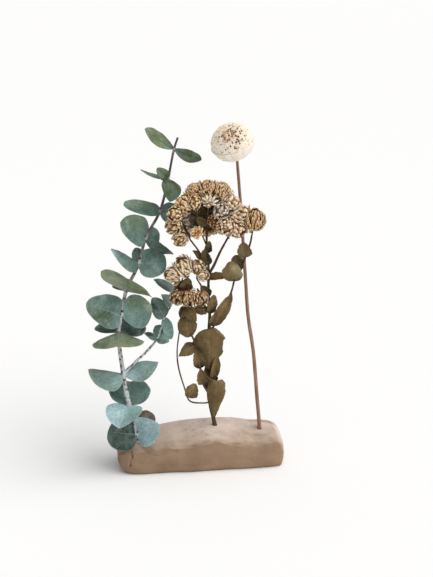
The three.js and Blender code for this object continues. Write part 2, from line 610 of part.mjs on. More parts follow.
// The button's disc: florets all over a flattened ball, which is level where it sits in the cup.
function disc(draw) {
  const shape = new THREE.IcosahedronGeometry(1, DISC_DETAIL);
  const spots = shape.attributes.position;
  for (let n = 0; n < spots.count; n += 1) {
    spots.setXYZ(n, spots.getX(n) * DISC_RADIUS, Math.max(CUP_FLOOR + GAP, spots.getY(n) * DISC_HEIGHT),
      spots.getZ(n) * DISC_RADIUS);
  }
  const florets = raised(shape, (middle) => {
    const rise = DISC_FLORET * (1 - FLORET_UNEVENNESS * draw());
    return middle.y > DISC_EDGE ? middle.clone().addScaledVector(middle.normalize(), rise) : null;
  });
  return solid(aim(florets, point(BUTTON_AXIS).normalize(), point(BUTTON_CENTRE)));
}

// A head of long bracts that fan out from a small ball.
function tuft([, , centre, axis, , length, count, spread]) {
  const core = new THREE.IcosahedronGeometry(length * TUFT_CORE, 0);
  const bracts = capDirections(count, spread).map((direction) => (
    aim(bract(length, length * BRACT_WIDTH), direction, new THREE.Vector3())));
  const up = point(axis).normalize();
  return union([core, ...bracts].map((shape) => aim(shape, up, point(centre))));
}

const group = new THREE.Group();
const draw = seededDraw(DRAW_SEED);
group.add(mesh("clay_base", clayBase(), "clay"));
group.add(mesh("eucalyptus_branch", eucalyptusBranch(), "eucalyptus"));
group.add(mesh("dried_flower_stalk", driedStalk(), "stalk"));
domes.forEach((dome, n) => {
  const name = `flower_head_${String(n + 1).padStart(2, "0")}`;
  group.add(mesh(name, solid(floretDome(dome, domes, draw)), dome.finish));
});
for (const row of TUFTS) {
  const [name, finish] = row;
  group.add(mesh(name, tuft(row), finish));
}
group.add(mesh("button_stem", solid(stem(buttonPoints, BUTTON_STEM_RADII)), "buttonStem"));
group.add(mesh("button_cup", solid(cup()), "cup"));
group.add(mesh("button_florets", disc(draw), "disc"));

export default group;
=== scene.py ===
# %% [markdown]
# # An ikebana arrangement, dressed for the camera
# Three preserved stems stand in a block of clay: a eucalyptus branch, a dried everlasting with a
# dome of papery heads, and one long stem with a pale button. The CAD model gives each piece its
# place and its main form. This script puts a finer mesh over each of them and gives it a finish.
# The frame is loaded first, so that every piece can be built straight into its place, in the same
# axes as the CAD: metres, +Z up, +X right, and +Y away from the viewer.

# %% Load the frame
import math

import bpy
import numpy as np
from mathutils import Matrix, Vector, kdtree, noise


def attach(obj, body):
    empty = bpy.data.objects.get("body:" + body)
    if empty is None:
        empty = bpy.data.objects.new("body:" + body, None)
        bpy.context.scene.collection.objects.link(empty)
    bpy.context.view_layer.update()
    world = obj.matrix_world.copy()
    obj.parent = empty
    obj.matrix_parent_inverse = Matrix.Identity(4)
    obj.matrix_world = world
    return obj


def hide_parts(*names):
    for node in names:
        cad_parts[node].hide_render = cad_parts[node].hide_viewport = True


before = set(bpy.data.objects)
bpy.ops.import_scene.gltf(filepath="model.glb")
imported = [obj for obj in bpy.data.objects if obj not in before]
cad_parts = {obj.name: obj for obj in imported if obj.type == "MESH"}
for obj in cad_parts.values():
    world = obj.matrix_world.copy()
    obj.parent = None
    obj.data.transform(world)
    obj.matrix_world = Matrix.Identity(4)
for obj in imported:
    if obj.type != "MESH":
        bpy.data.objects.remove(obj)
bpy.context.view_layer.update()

# %% [markdown]
# ## Small tools
# Everything below is thought out in millimetres, as a maker would, and turned to metres at the
# last moment. A piece is put together from parts. Each part is a list of points, a list of faces
# and a few named values for every point, such as how far along a leaf it lies. The materials read
# those values, which is how one finish can be dark at the root and pale at the tip of every bract.

# %% Points, faces and values become a piece
MM = 0.001
SEED = 7
rng = np.random.default_rng(SEED)
noise.seed_set(SEED)  # Blender's noise vectors differ from run to run without it


def unit(vectors):
    """The same directions with length 1."""
    vectors = np.asarray(vectors, float)
    return vectors / np.linalg.norm(vectors, axis=-1, keepdims=True)


def smoothstep(low, high, value):
    """0 below low, 1 above high, and a soft rise between."""
    share = np.clip((np.asarray(value, float) - low) / (high - low), 0, 1)
    return share * share * (3 - 2 * share)


def joined(parts):
    """Several parts as one: their points, faces and values one after another."""
    points, faces, values, offset = [], [], {}, 0
    for part_points, part_faces, part_values in parts:
        points.append(part_points)
        faces += [[offset + corner for corner in face] for face in part_faces]
        for name, value in part_values.items():
            values.setdefault(name, []).append(value)
        offset += len(part_points)
    return np.concatenate(points), faces, {name: np.concatenate(v) for name, v in values.items()}


def new_mesh(name, points, faces):
    """A mesh from points in millimetres."""
    mesh = bpy.data.meshes.new(name)
    mesh.from_pydata((np.asarray(points, float) * MM).tolist(), [], faces)
    return mesh


def placed(name, data):
    """An object that puts a mesh, a lamp or a camera into the scene."""
    made = bpy.data.objects.new(name, data)
    bpy.context.scene.collection.objects.link(made)
    return made


def make_piece(name, part, material, node):
    """Makes a mesh piece, stands it in for its CAD node, and lets it ride on the one body."""
    points, faces, values = part
    mesh = new_mesh(name, points, faces)
    for value_name, value in values.items():
        kind, field = ("FLOAT_COLOR", "color") if value.ndim == 2 else ("FLOAT", "value")
        layer = mesh.attributes.new(value_name, kind, "POINT")
        layer.data.foreach_set(field, value.astype(np.float32).ravel())
    mesh.shade_smooth()
    mesh.validate()
    mesh.materials.append(material)
    piece = placed(name, mesh)
    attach(piece, "root")
    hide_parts(node)
    return piece


# %% [markdown]
# ## Tools for finishes
# A material is a small graph of nodes. One function adds a node, sets its values and joins its
# inputs, so that each finish below reads as a recipe. Colours are written as sRGB hex values, as a
# paint chart gives them, and turned to the linear values that light is reckoned in. Two steps come
# back in most finishes and have a function each: a pattern that makes a colour darker and paler,
# and the last links to the shader, where the fine relief goes in as bump.

# %% Adding nodes and colours
def linear(hex_colour):
    """An sRGB hex value as linear red, green, blue and alpha."""
    channels = [int(hex_colour[n:n + 2], 16) / 255 for n in (1, 3, 5)]
    return [c / 12.92 if c <= 0.04045 else ((c + 0.055) / 1.055) ** 2.4 for c in channels] + [1.0]


def toward(tone, other, share):
    """A linear colour, moved towards another by a share."""
    return tone + (other - tone) * share


def add(tree, kind, settings=None, links=None):
    """Adds a node, sets its sockets, its properties or its ramp's stops, and links its inputs."""
    made = tree.nodes.new("ShaderNode" + kind)
    for name, value in (settings or {}).items():
        if name == "stops":
            for stop, (place, hex_colour) in zip(made.color_ramp.elements, value):
                stop.position = place
                stop.color = linear(hex_colour)
        elif isinstance(name, str) and name not in made.inputs:
            setattr(made, name, value)
        else:
            made.inputs[name].default_value = value
    for name, source in (links or {}).items():
        tree.links.new(source, made.inputs[name])
    return made


def new_material(name, roughness, ior=1.45, specular=0.5):
    """A material with a Principled shader, its tree, and the shader itself."""
    material = bpy.data.materials.new(name)
    material.use_nodes = True
    tree = material.node_tree
    shader = tree.nodes["Principled BSDF"]
    shader.inputs["Roughness"].default_value = roughness
    shader.inputs["IOR"].default_value = ior
    shader.inputs["Specular IOR Level"].default_value = specular
    print("finish:", name)
    return material, tree, shader


def shaded_by(tree, colour, pattern, low, high, darkest, palest):
    """A colour times a pattern: times darkest where the pattern is low, times palest where it is high."""
    amount = add(tree, "MapRange", {"From Min": low, "From Max": high, "To Min": darkest, "To Max": palest},
                 {"Value": pattern.outputs["Fac"]})
    shaded = add(tree, "VectorMath", {"operation": "SCALE"}, {0: colour, "Scale": amount.outputs["Result"]})
    return shaded.outputs["Vector"]


def dress(tree, shader, colour, relief, strength, depth):
    """The last links to the shader: its colour, and a relief as bump, its depth in mm."""
    bump = add(tree, "Bump", {"Strength": strength, "Distance": depth * MM}, {"Height": relief})
    tree.links.new(colour, shader.inputs["Base Color"])
    tree.links.new(bump.outputs["Normal"], shader.inputs["Normal"])


# %% [markdown]
# ## Camera
# The photograph is taken a little from the left and from above, with the block's long front almost
# square to the lens. Sizes were worked out from that view, so the camera is set from the same
# numbers: how far away it stands, how high it looks from, and how many millimetres a pixel covers.
# Its frame is 433 by 577 pixels, and the longer side is the sensor's 36 mm.

# %% Camera
AZIMUTH, ELEVATION = math.radians(-7), math.radians(16)
DISTANCE = 900.0  # mm from the lens to the middle of the view
PIXEL = 0.85  # mm that one pixel covers there
FRAME_TALL = 577  # pixels
SENSOR = 36.0  # mm
TARGET = Vector((18.0, 38.4, 140.5))  # the middle of the view, mm

looking = Vector((-math.sin(AZIMUTH) * math.cos(ELEVATION), math.cos(AZIMUTH) * math.cos(ELEVATION),
                  -math.sin(ELEVATION)))
eye = TARGET - looking * DISTANCE
camera = placed("camera", bpy.data.cameras.new("camera"))
camera.location = eye * MM
camera.rotation_euler = looking.to_track_quat("-Z", "Y").to_euler()
camera.data.sensor_fit = "VERTICAL"
camera.data.sensor_height = SENSOR
camera.data.lens = DISTANCE / PIXEL / FRAME_TALL * SENSOR
bpy.context.scene.camera = camera
bpy.context.scene.view_settings.view_transform = "Standard"
print("camera at", [round(v, 1) for v in eye], "mm, lens", round(camera.data.lens, 2), "mm")

# %% [markdown]
# ## Light and floor
# The block's top is about twice as bright as its front, and the button's right side is the palest
# thing in the picture. So the key light is a very wide sun from above, a little to the right and
# from the near side, which lights floor and object evenly, and a weak even sky lifts the shadows. A
# floor that is close to white throws a good part of the light back up under the leaves.

# %% Light and floor
SUN_FROM = Vector((0.62, -0.34, 1.0))  # the way from the object to the sun
SUN_POWER = 2.25
SUN_SPREAD = math.radians(64)
SKY_POWER = 0.48
FLOOR = 30000.0  # mm to each side, so that its edge lies out at the horizon

sun = bpy.data.lights.new("key_sun", "SUN")
sun.energy = SUN_POWER
sun.angle = SUN_SPREAD
sun.color = linear("#fffdf9")[:3]
sun_holder = placed("key_sun", sun)
sun_holder.rotation_euler = (-SUN_FROM).to_track_quat("-Z", "Y").to_euler()

sky = bpy.data.worlds.new("pale_sky")
sky.use_nodes = True
backdrop = sky.node_tree.nodes["Background"]
backdrop.inputs["Color"].default_value = linear("#fefdfb")
backdrop.inputs["Strength"].default_value = SKY_POWER
bpy.context.scene.world = sky

painted, tree, shader = new_material("matt_painted_board", 0.9, specular=0.1)
mottle = add(tree, "TexNoise", {"Scale": 3.0, "Detail": 2.0})
paint = add(tree, "ValToRGB", {"stops": [(0, "#f8f9fb"), (1, "#fbfcfe")]}, {"Fac": mottle.outputs["Fac"]})
tree.links.new(paint.outputs["Color"], shader.inputs["Base Color"])

corners = [(-FLOOR, -FLOOR, 0), (FLOOR, -FLOOR, 0), (FLOOR, FLOOR, 0), (-FLOOR, FLOOR, 0)]
floor_mesh = new_mesh("floor", corners, [(0, 1, 2, 3)])
floor_mesh.materials.append(painted)
floor = placed("floor", floor_mesh)
print("sun", SUN_POWER, "and sky", SKY_POWER, "over a floor", round(2 * FLOOR * MM), "m wide")

# %% [markdown]
# ## Stems: a curve with a round section
# A stem is a smooth curve through the places where its leaves sit. The CAD stems follow a
# centripetal Catmull-Rom curve, which passes through every point without loops, so the same curve
# is drawn here with much finer steps. A ring of points is swept along it, kept from twisting by
# carrying one side of each ring over to the next.

# %% Curves and tubes
SPAN_STEPS = 24  # fine steps between two of a curve's given points


def smooth_path(points, spacing):
    """Points evenly spaced along the centripetal Catmull-Rom curve through the given ones."""
    points = np.asarray(points, float)
    padded = np.vstack([2 * points[0] - points[1], points, 2 * points[-1] - points[-2]])
    fine = []
    for before, start, end, after in zip(padded, padded[1:], padded[2:], padded[3:]):
        gaps = [math.sqrt(np.linalg.norm(b - a)) for a, b in ((before, start), (start, end), (end, after))]
        leave = (start - before) / gaps[0] - (end - before) / (gaps[0] + gaps[1]) + (end - start) / gaps[1]
        arrive = (end - start) / gaps[1] - (after - start) / (gaps[1] + gaps[2]) + (after - end) / gaps[2]
        leave, arrive = leave * gaps[1], arrive * gaps[1]
        t = np.linspace(0, 1, SPAN_STEPS, endpoint=False)[:, None]
        fine.append(start + leave * t + (3 * (end - start) - 2 * leave - arrive) * t ** 2
                    + (2 * (start - end) + leave + arrive) * t ** 3)
    fine = np.vstack(fine + [points[-1:]])
    run = np.concatenate([[0], np.cumsum(np.linalg.norm(np.diff(fine, axis=0), axis=1))])
    even = np.linspace(0, run[-1], max(4, round(run[-1] / spacing)) + 1)
    return np.stack([np.interp(even, run, fine[:, k]) for k in range(3)], axis=1)


def full_turn(count):
    """Angles spread evenly round a circle."""
    return np.linspace(0, 2 * np.pi, count, endpoint=False)


def ring_faces(rings, around):
    """The quads between rings of points that are listed one ring after another."""
    faces = []
    for start in range(0, (rings - 1) * around, around):
        for n in range(around):
            here, beside = start + n, start + (n + 1) % around
            faces.append([here, beside, beside + around, here + around])
    return faces


def tube(path, radii, sides, values=None):
    """A closed tube along a path, with one radius or a row of radii for each of its points."""
    count = len(path)
    ahead = unit(np.gradient(path, axis=0))
    side = unit(np.cross(ahead[0], [0.3, 1, 0.2]))  # any direction that no stem runs in
    turns = full_turn(sides)[:, None]
    radii = np.broadcast_to(np.asarray(radii, float).reshape(count, -1), (count, sides))
    rings = []
    for centre, forward, radius in zip(path, ahead, radii):
        side = unit(side - forward * side.dot(forward))
        lift = np.cross(forward, side)
        rings.append(centre + radius[:, None] * (np.cos(turns) * side + np.sin(turns) * lift))
    points = np.vstack(rings + [path[:1], path[-1:]])
    faces = ring_faces(count, sides)
    last, foot, top = (count - 1) * sides, count * sides, count * sides + 1
    for n in range(sides):
        beside = (n + 1) % sides
        faces.append([beside, n, foot])
        faces.append([last + n, last + beside, top])
    spread = {name: np.concatenate([np.repeat(value, sides, axis=0), value[:1], value[-1:]])
              for name, value in (values or {}).items()}
    return points, faces, spread


# %% [markdown]
# ## The clay block
# The base is air-drying clay, patted into a long loaf by hand: a flat foot, a soft front edge, a
# top that rises to the back, a folded lump with a crack at the left end and a crease on the right.
# The CAD rows give the loaf's section from end to end. Here a smooth curve is run through them both
# ways, and the pressed surface is added by moving its points: broad dents of the palm, fine ridges
# where fingers were drawn along it, pits where crumbs came away, and the fold. Sculpting in code
# like this keeps every mark where the photograph shows it, and the mesh stays one closed skin.

# %% Clay: the loaf
CLAY_ROWS = [  # place along the block; there its underside, front, back, front edge and crest, mm
    [-70.5, 8, -11, 4, 14.5, 17.5], [-69, 5, -16, 9, 16.5, 20.5], [-65, 2, -20, 15, 18, 23],
    [-59, 0.3, -22, 20, 19, 24.5], [-52, 0, -23, 22, 19.5, 25.5], [-40, 0, -23, 23, 21, 27],
    [-24, 0, -22.5, 24, 23, 29.5], [-8, 0, -23.5, 24, 24.5, 31.3], [5, 0, -23, 24, 28.5, 32],
    [20, 0, -22.5, 24, 26.5, 31.6], [34, 0, -23, 24, 22.5, 30.6], [44, 0, -22.5, 23.5, 20.5, 28.6],
    [55, 0, -22, 23, 23, 28], [62.5, 0, -21, 22, 24, 26.4], [66.5, 0.5, -19, 19.5, 21.5, 24],
    [68.5, 3, -15, 15, 18, 20],
]
CLAY_STEP = 0.9  # mm between rings along the block
CLAY_ROUND = 150  # points in a ring
CLAY_FOOT = 24  # how many of them lie along the flat underside


def clay_section(under, front, back, edge, crest):
    """The outline across the block, depth and height, from its front foot over the top to its back foot."""
    rise = [(front + 4 + (back - 16 - front) * a, edge + (crest - edge) * b)
            for a, b in ((0.2, 0.3), (0.45, 0.62), (0.75, 0.9))]
    return [(front + 3, under), (front + 0.8, under + 2.5), (front - 0.5, (under + edge) / 2),
            (front + 0.4, edge - 5), (front + 1.6, edge - 2), (front + 4, edge), *rise,
            (back - 12, crest), (back - 6, crest - 0.6), (back - 2, crest - 3), (back, crest - 8),
            (back + 0.5, (under + crest) / 2), (back - 0.8, under + 2.5), (back - 3, under)]


def between(table, places, at):
    """Each column of a table of rows, drawn smoothly through their places."""
    table = np.asarray(table, float)
    slopes = np.gradient(table, places, axis=0)
    spot = np.clip(np.searchsorted(places, at) - 1, 0, len(places) - 2)
    width = np.diff(places)[spot][:, None]
    t = (at - places[spot])[:, None] / width
    return (table[spot] * (2 * t ** 3 - 3 * t ** 2 + 1) + slopes[spot] * width * (t ** 3 - 2 * t ** 2 + t)
            + table[spot + 1] * (3 * t ** 2 - 2 * t ** 3) + slopes[spot + 1] * width * (t ** 3 - t ** 2))


def round_ring(ring):
    """A closed smooth curve through a ring's corners, flat along the underside."""
    over = smooth_path(ring, 0.25)
    run = np.linspace(0, 1, len(over))
    keep = np.linspace(0, 1, CLAY_ROUND - CLAY_FOOT)
    top = np.stack([np.interp(keep, run, over[:, k]) for k in range(3)], axis=1)
    share = np.linspace(0, 1, CLAY_FOOT + 2)[1:-1, None]
    return np.vstack([top, ring[-1] + (ring[0] - ring[-1]) * share])


clay_x = np.array([row[0] for row in CLAY_ROWS], float)
ring_x = np.linspace(clay_x[0], clay_x[-1], round((clay_x[-1] - clay_x[0]) / CLAY_STEP) + 1)
clay_rings = []
for x, (under, *others) in zip(ring_x, between([row[1:] for row in CLAY_ROWS], clay_x, ring_x)):
    clay_rings.append(np.array([(x, y, z) for y, z in clay_section(max(under, 0), *others)]))
clay_skin = np.array([round_ring(ring) for ring in clay_rings])
print("clay skin:", clay_skin.shape[0], "rings of", clay_skin.shape[1], "points")

# %% [markdown]
# The marks of the hand are small moves along the surface's own normal. Noise in stretched
# coordinates gives the drawn-out ridges; a few named places get a crease, a crack or a dent of
# their own. Creases and pits also leave a value on the skin, so that the finish can paint shade
# into them.

# %% Clay: the marks of the hand
CREASES = [  # points the mark runs through, half width, depth
    ([(-60, -17.5, 19.5), (-58.5, -21.5, 16), (-61, -21.8, 12.5), (-60.3, -21.5, 8.5)], 0.6, 2.2),
    ([(-69, -12, 15), (-66, -17, 19), (-62, -17, 21.5), (-59, -16, 21)], 0.9, 0.7),
    ([(-66, -19, 8), (-60, -21.5, 6.0), (-52, -23, 3.5)], 1.4, 0.35),
    ([(43, 13, 28.8), (50, 13, 27.0), (56, 12, 26.5), (63, 10, 25.4), (67, 5, 23.5)], 1.1, 1.2),
    ([(-46, -20, 18), (-38, -21, 17), (-30, -20, 19.5), (-22, -20.5, 19)], 0.9, 0.6),
    ([(-26, -18, 22), (-16, -19.5, 22), (-6, -20, 22), (4, -20, 25.5)], 1.2, 0.45),
    ([(10, -19, 26), (17, -18.5, 24.5), (22, -19, 22.5), (30, -19, 21.5)], 1.0, 0.5),
    ([(36, -18, 21.5), (44, -18, 20.5), (52, -18, 21.5), (60, -17, 22)], 1.4, 0.4),
    ([(34, -4, 30), (42, -8, 26.5), (50, -9, 25.5), (58, -8, 25.5)], 1.5, 0.45),
    ([(-20, -8, 26), (-8, -10, 27), (4, -11, 27.5), (16, -9, 29)], 2.0, 0.35),
    ([(-28, -23, 7), (-10, -23.5, 6), (8, -23, 7)], 1.6, 0.25),
    ([(16, -23, 11), (40, -23, 9.5)], 1.4, 0.25),
]
DENTS = [  # place, half width along and across, depth (a negative depth stands out)
    ((-63, -21, 17), 5.5, 5.0, -1.0), ((-54, -23, 10), 6, 4, 0.7), ((-36, -23, 9), 11, 4, 0.45),
    ((-14, -23.5, 8), 10, 4, 0.35), ((12, -23.5, 9), 12, 4, 0.4), ((49, -21, 19.5), 8, 5, -0.8),
    ((33, -18, 22), 9, 5, 0.5), ((57, -10, 25), 6, 4, -0.6), ((-12, 2, 31), 10, 7, 0.4),
    ((28, 5, 30), 9, 8, 0.5), ((-45, 5, 26), 9, 7, 0.5), ((20, 24, 15), 14, 6, 0.6),
    ((-30, 23, 14), 12, 6, 0.6), ((52, 0, 27.5), 5, 5, 0.5),
]
CREASE_KEPT = 0.35  # how deep a crease stays where the clay was smoothed over it, as a part
CREASE_LIP = 0.25  # how high the clay is pushed up beside a crease, as a part of its depth
BROAD, DRAWN, GRAINY = 0.5, 0.16, 0.13  # mm that the palm's, the fingers' and the finest marks move the skin
PITS = 16  # crumbs that came away round the middle stem
PIT_AREA = [(-14, -14), (14, 12)]  # x and y of its corners
PIT_REACH = (0.5, 1.1)  # mm from a pit's middle to its rim
PIT_DEPTH = 0.5
PIT_LONG = 1.5  # how much longer than wide a pit is
# painted shade in the pits
PIT_SHADE = 0.35  # how much a pit darkens the clay
CLAY_TOP = 20  # mm up; pits lie above it
CLAY_MIDDLE = np.array([0, 0, 14])  # a place inside the block

flat = clay_skin.reshape(-1, 3)
length_way = np.gradient(clay_skin, axis=0)
round_way = np.roll(clay_skin, -1, axis=1) - np.roll(clay_skin, 1, axis=1)
outward = np.cross(length_way, round_way)
outward /= np.maximum(np.linalg.norm(outward, axis=2, keepdims=True), 1e-9)
outward = outward.reshape(-1, 3)
outward *= np.sign(np.sum(outward * (flat - CLAY_MIDDLE) * [0, 1, 1]))

push = np.zeros(len(flat))
hollow_shade = np.zeros(len(flat))
broken = smoothstep(-0.25, 0.3, [noise.noise(Vector(spot) / 7 + Vector((5, 0, 3))) for spot in flat])
for n, spot in enumerate(flat):
    broad = noise.noise(Vector(spot) / 17)
    drawn = noise.noise(Vector((spot[0] / 26, spot[1] / 3.2, spot[2] / 2.6)))
    grainy = noise.noise(Vector((spot[0] / 5, spot[1] / 2.4, spot[2] / 2.2)) + Vector((9, 9, 9)))
    push[n] = BROAD * broad + DRAWN * drawn + GRAINY * grainy
for corners, half_width, depth in CREASES:
    line = smooth_path([flat[np.argmin(np.linalg.norm(flat - corner, axis=1))] for corner in corners], 0.8)
    away = np.min(np.linalg.norm(flat[:, None] - line[None], axis=2), axis=1)
    groove = np.exp(-(away / half_width) ** 2) * (CREASE_KEPT + (1 - CREASE_KEPT) * broken)
    lip = CREASE_LIP * broken * np.exp(-((away - 2.2 * half_width) / half_width) ** 2)
    push += depth * (lip - groove)
    # painted shade in the crease, darker where it is deeper
    hollow_shade = np.maximum(hollow_shade, groove * min(1.0, 0.9 * depth ** 2))
for centre, wide, deep, depth in DENTS:
    offset = flat - centre
    across = (offset[:, 1] ** 2 + offset[:, 2] ** 2) / deep ** 2
    push -= depth * np.exp(-(offset[:, 0] / wide) ** 2 - across)
for pit_x, pit_y in rng.uniform(*PIT_AREA, (PITS, 2)):
    reach = rng.uniform(*PIT_REACH)
    away = np.hypot((flat[:, 0] - pit_x) / PIT_LONG, flat[:, 1] - pit_y) / reach
    pit = np.exp(-away ** 2) * (flat[:, 2] > CLAY_TOP)
    push -= PIT_DEPTH * pit
    hollow_shade = np.maximum(hollow_shade, PIT_SHADE * pit)
push *= smoothstep(0.2, 3.0, flat[:, 2])  # the underside stays flat
clay_points = flat + outward * push[:, None]
clay_points[:, 2] = np.maximum(clay_points[:, 2], 0)
clay_points[:, 0] = np.clip(clay_points[:, 0], clay_x[0], clay_x[-1])
print("marks pushed the skin by", round(push.min(), 2), "to", round(push.max(), 2), "mm")

# %% [markdown]
# Air-drying clay is a chalky, unglazed body: no gloss, a slightly open grain, and paler where it
# dried first. So two soft tones of brown come first, in random patches. A pale tone lies over them
# in clouds, more of it the higher a place lies and the more it faces up: partly the dry tone and
# partly painted light from above, which leaves the front browner as painted shade. On the right end
# the pale tone is a painted highlight. Creases and pits are darkened with painted shade, and a fine
# grain comes last. The real grit is about a quarter of a millimetre, drawn at about 1 mm here so
# that it shows at all.

# %% Clay: air-dried, hand-pressed finish
def clay_finish():
    """Brown clay under a pale top of dry tone and painted top light, with a painted highlight on the right
    end, painted shade in creases and pits, grit and the smears of fingers.
    """
    material, tree, shader = new_material("clay_air_dried_hand_pressed", 0.88, ior=1.5, specular=0.25)
    surface = add(tree, "NewGeometry")
    position = surface.outputs["Position"]
    patches = add(tree, "TexNoise", {"Scale": 42.0, "Detail": 4.0, "Roughness": 0.55}, {"Vector": position})
    body = add(tree, "ValToRGB", {"stops": [(0.35, "#8b735e"), (0.68, "#a2876f")]},
               {"Fac": patches.outputs["Fac"]})
    normal = add(tree, "SeparateXYZ", links={"Vector": surface.outputs["Normal"]})
    place = add(tree, "SeparateXYZ", links={"Vector": position})
    # painted highlight: the right end of the block gets more of the pale tone
    right_end_highlight = add(tree, "MapRange", {"From Min": 0.0615, "From Max": 0.068, "To Max": 0.85},
                    {"Value": place.outputs["X"]})
    height = add(tree, "MapRange", {"From Min": 0.013, "From Max": 0.03, "To Max": 0.75},
                 {"Value": place.outputs["Z"]})
    cloudy = add(tree, "TexNoise", {"Scale": 85.0, "Detail": 4.0, "Roughness": 0.6}, {"Vector": position})
    # painted light from above: places that face up and lie high get more of the pale tone
    top_light = add(tree, "Math", {"operation": "MULTIPLY_ADD", 1: 0.5},
                    {0: normal.outputs["Z"], 2: height.outputs["Result"]})
    clouds_and_top_light = add(tree, "Math", {"operation": "MULTIPLY_ADD", 1: 0.55},
                 {0: cloudy.outputs["Fac"], 2: top_light.outputs["Value"]})
    pale_and_highlight = add(tree, "Math", {"operation": "ADD"},
                 {0: clouds_and_top_light.outputs["Value"], 1: right_end_highlight.outputs["Result"]})
    # the pale tone is partly dry clay and partly painted top light and highlight
    dry_and_light_share = add(tree, "MapRange", {"From Min": 0.95, "From Max": 1.72}, {"Value": pale_and_highlight.outputs["Value"]})
    dry_and_lit = add(tree, "Mix", {"data_type": "RGBA", 7: linear("#e0cfc4")},
              {0: dry_and_light_share.outputs["Result"], 6: body.outputs["Color"]})
    # painted shade in the creases and pits
    hollow_shade_value = add(tree, "Attribute", {"attribute_name": "hollow_shade"})
    shaded_hollows = add(tree, "Mix", {"data_type": "RGBA", 7: linear("#654d3b")},
                  {0: hollow_shade_value.outputs["Fac"], 6: dry_and_lit.outputs[2]})
    grain = add(tree, "TexNoise", {"Scale": 900.0, "Detail": 3.0, "Roughness": 0.7}, {"Vector": position})
    drag = add(tree, "Mapping", {"Scale": (60, 700, 900)}, {"Vector": position})
    smears = add(tree, "TexNoise", {"Scale": 1.0, "Detail": 3.0}, {"Vector": drag.outputs["Vector"]})
    relief = add(tree, "Math", {"operation": "MULTIPLY_ADD", 1: 0.45},
                 {0: grain.outputs["Fac"], 2: smears.outputs["Fac"]})
    speckled = shaded_by(tree, shaded_hollows.outputs[2], grain, 0.3, 0.7, 0.93, 1.05)
    dress(tree, shader, speckled, relief.outputs["Value"], 0.6, 0.7)
    return material


clay_material = clay_finish()

# %% [markdown]
# The skin is closed at both ends with rings that shrink to a point. The stems stand in plain holes,
# cut with a boolean from slightly wider tubes that follow each stem into the clay, as a skewer
# would leave them.

# %% Clay: close it and cut the holes
def closed_skin(points, rings, around, shrinks=(0.85, 0.6, 0.3)):
    """Faces for a grid of rings, with extra rings that shrink to a point at each end."""
    faces, extra = ring_faces(rings, around), []
    start = rings * around
    for first, flip in ((0, True), ((rings - 1) * around, False)):
        ring = points[first:first + around]
        centre = ring.mean(axis=0)
        previous = first
        for shrink in shrinks:
            extra.append(centre + (ring - centre) * shrink)
            for n in range(around):
                m = (n + 1) % around
                face = [previous + n, previous + m, start + m, start + n]
                faces.append(face[::-1] if flip else face)
            previous = start
            start += around
        extra.append(centre[None])
        for n in range(around):
            face = [previous + n, previous + (n + 1) % around, start]
            faces.append(face[::-1] if flip else face)
        start += 1
    return np.vstack([points, *extra]), faces


skin_points, skin_faces = closed_skin(clay_points, len(ring_x), CLAY_ROUND)
skin_hollow_shade = np.concatenate([hollow_shade, np.zeros(len(skin_points) - len(hollow_shade))])
clay = make_piece("clay_block", (skin_points, skin_faces, {"hollow_shade": skin_hollow_shade}), clay_material,
                  "clay_base")

STEMS = {  # the run of each stem, its radius at the foot and at the top
    "branch": ([(-53, -5, 6.5), (-54, -7, 30), (-60, -10, 57), (-64, -8, 84), (-67, -5, 119), (-64, -3, 132),
                (-60, 0, 152), (-49, 5, 173), (-43, 9, 193), (-31, 12, 214), (-24, 13, 240), (-19, 12, 264),
                (-16, 12, 273)], (2.2, 0.9)),
    "stalk": ([(13, 3, 6.5), (12, 2, 31), (8, 2, 52), (7, 2, 60), (8, 2, 78), (7, 2, 104), (8, 2, 130),
               (7, 2, 146), (7, 2, 163)], (1.9, 1.2)),
    "button": ([(50, 1, 6.5), (50, 1, 28), (48, 3, 55), (45, 6, 94), (41, 9, 123), (39, 12, 153),
                (37, 14, 185), (35, 16, 217), (33, 17.5, 243), (32.2, 18.3, 253.5)], (1.7, 1.2)),
}
HOLE_AIR = 0.3  # mm of air round a stem
HOLE_STEP = 2.0  # mm between the points that a hole follows
HOLE_POINTS = 24  # enough of them to reach out of the clay

bores = []
for points, (foot_radius, top_radius) in STEMS.values():
    path = smooth_path(points, HOLE_STEP)
    path[0, 2] -= HOLE_AIR
    radii = np.linspace(foot_radius, top_radius, len(path)) + HOLE_AIR
    bores.append(tube(path[:HOLE_POINTS], radii[:HOLE_POINTS], 20))
bore = placed("bores", new_mesh("bores", *joined(bores)[:2]))
cut = clay.modifiers.new("holes", "BOOLEAN")
cut.object = bore
cut.solver = "EXACT"
evaluated = clay.evaluated_get(bpy.context.evaluated_depsgraph_get())
bored = bpy.data.meshes.new_from_object(evaluated)
clay.modifiers.clear()
clay.data = bored
bpy.data.objects.remove(bore)
print("clay block:", len(clay.data.polygons), "faces with its three holes")

# %% [markdown]
# ## The eucalyptus branch
# Young silver-dollar eucalyptus carries round, almost stalkless leaves in pairs on a waxy stem.
# A leaf here is a thin closed blade: a grid of points on its upper face, the same grid a little
# lower, and a rim between them. The outline comes from one swelling curve, the fold and the arch
# from two more, and the midrib and side veins are pressed into the grid, so that they catch light
# from any side. Each pair was set against the photograph, so every leaf has its own row.

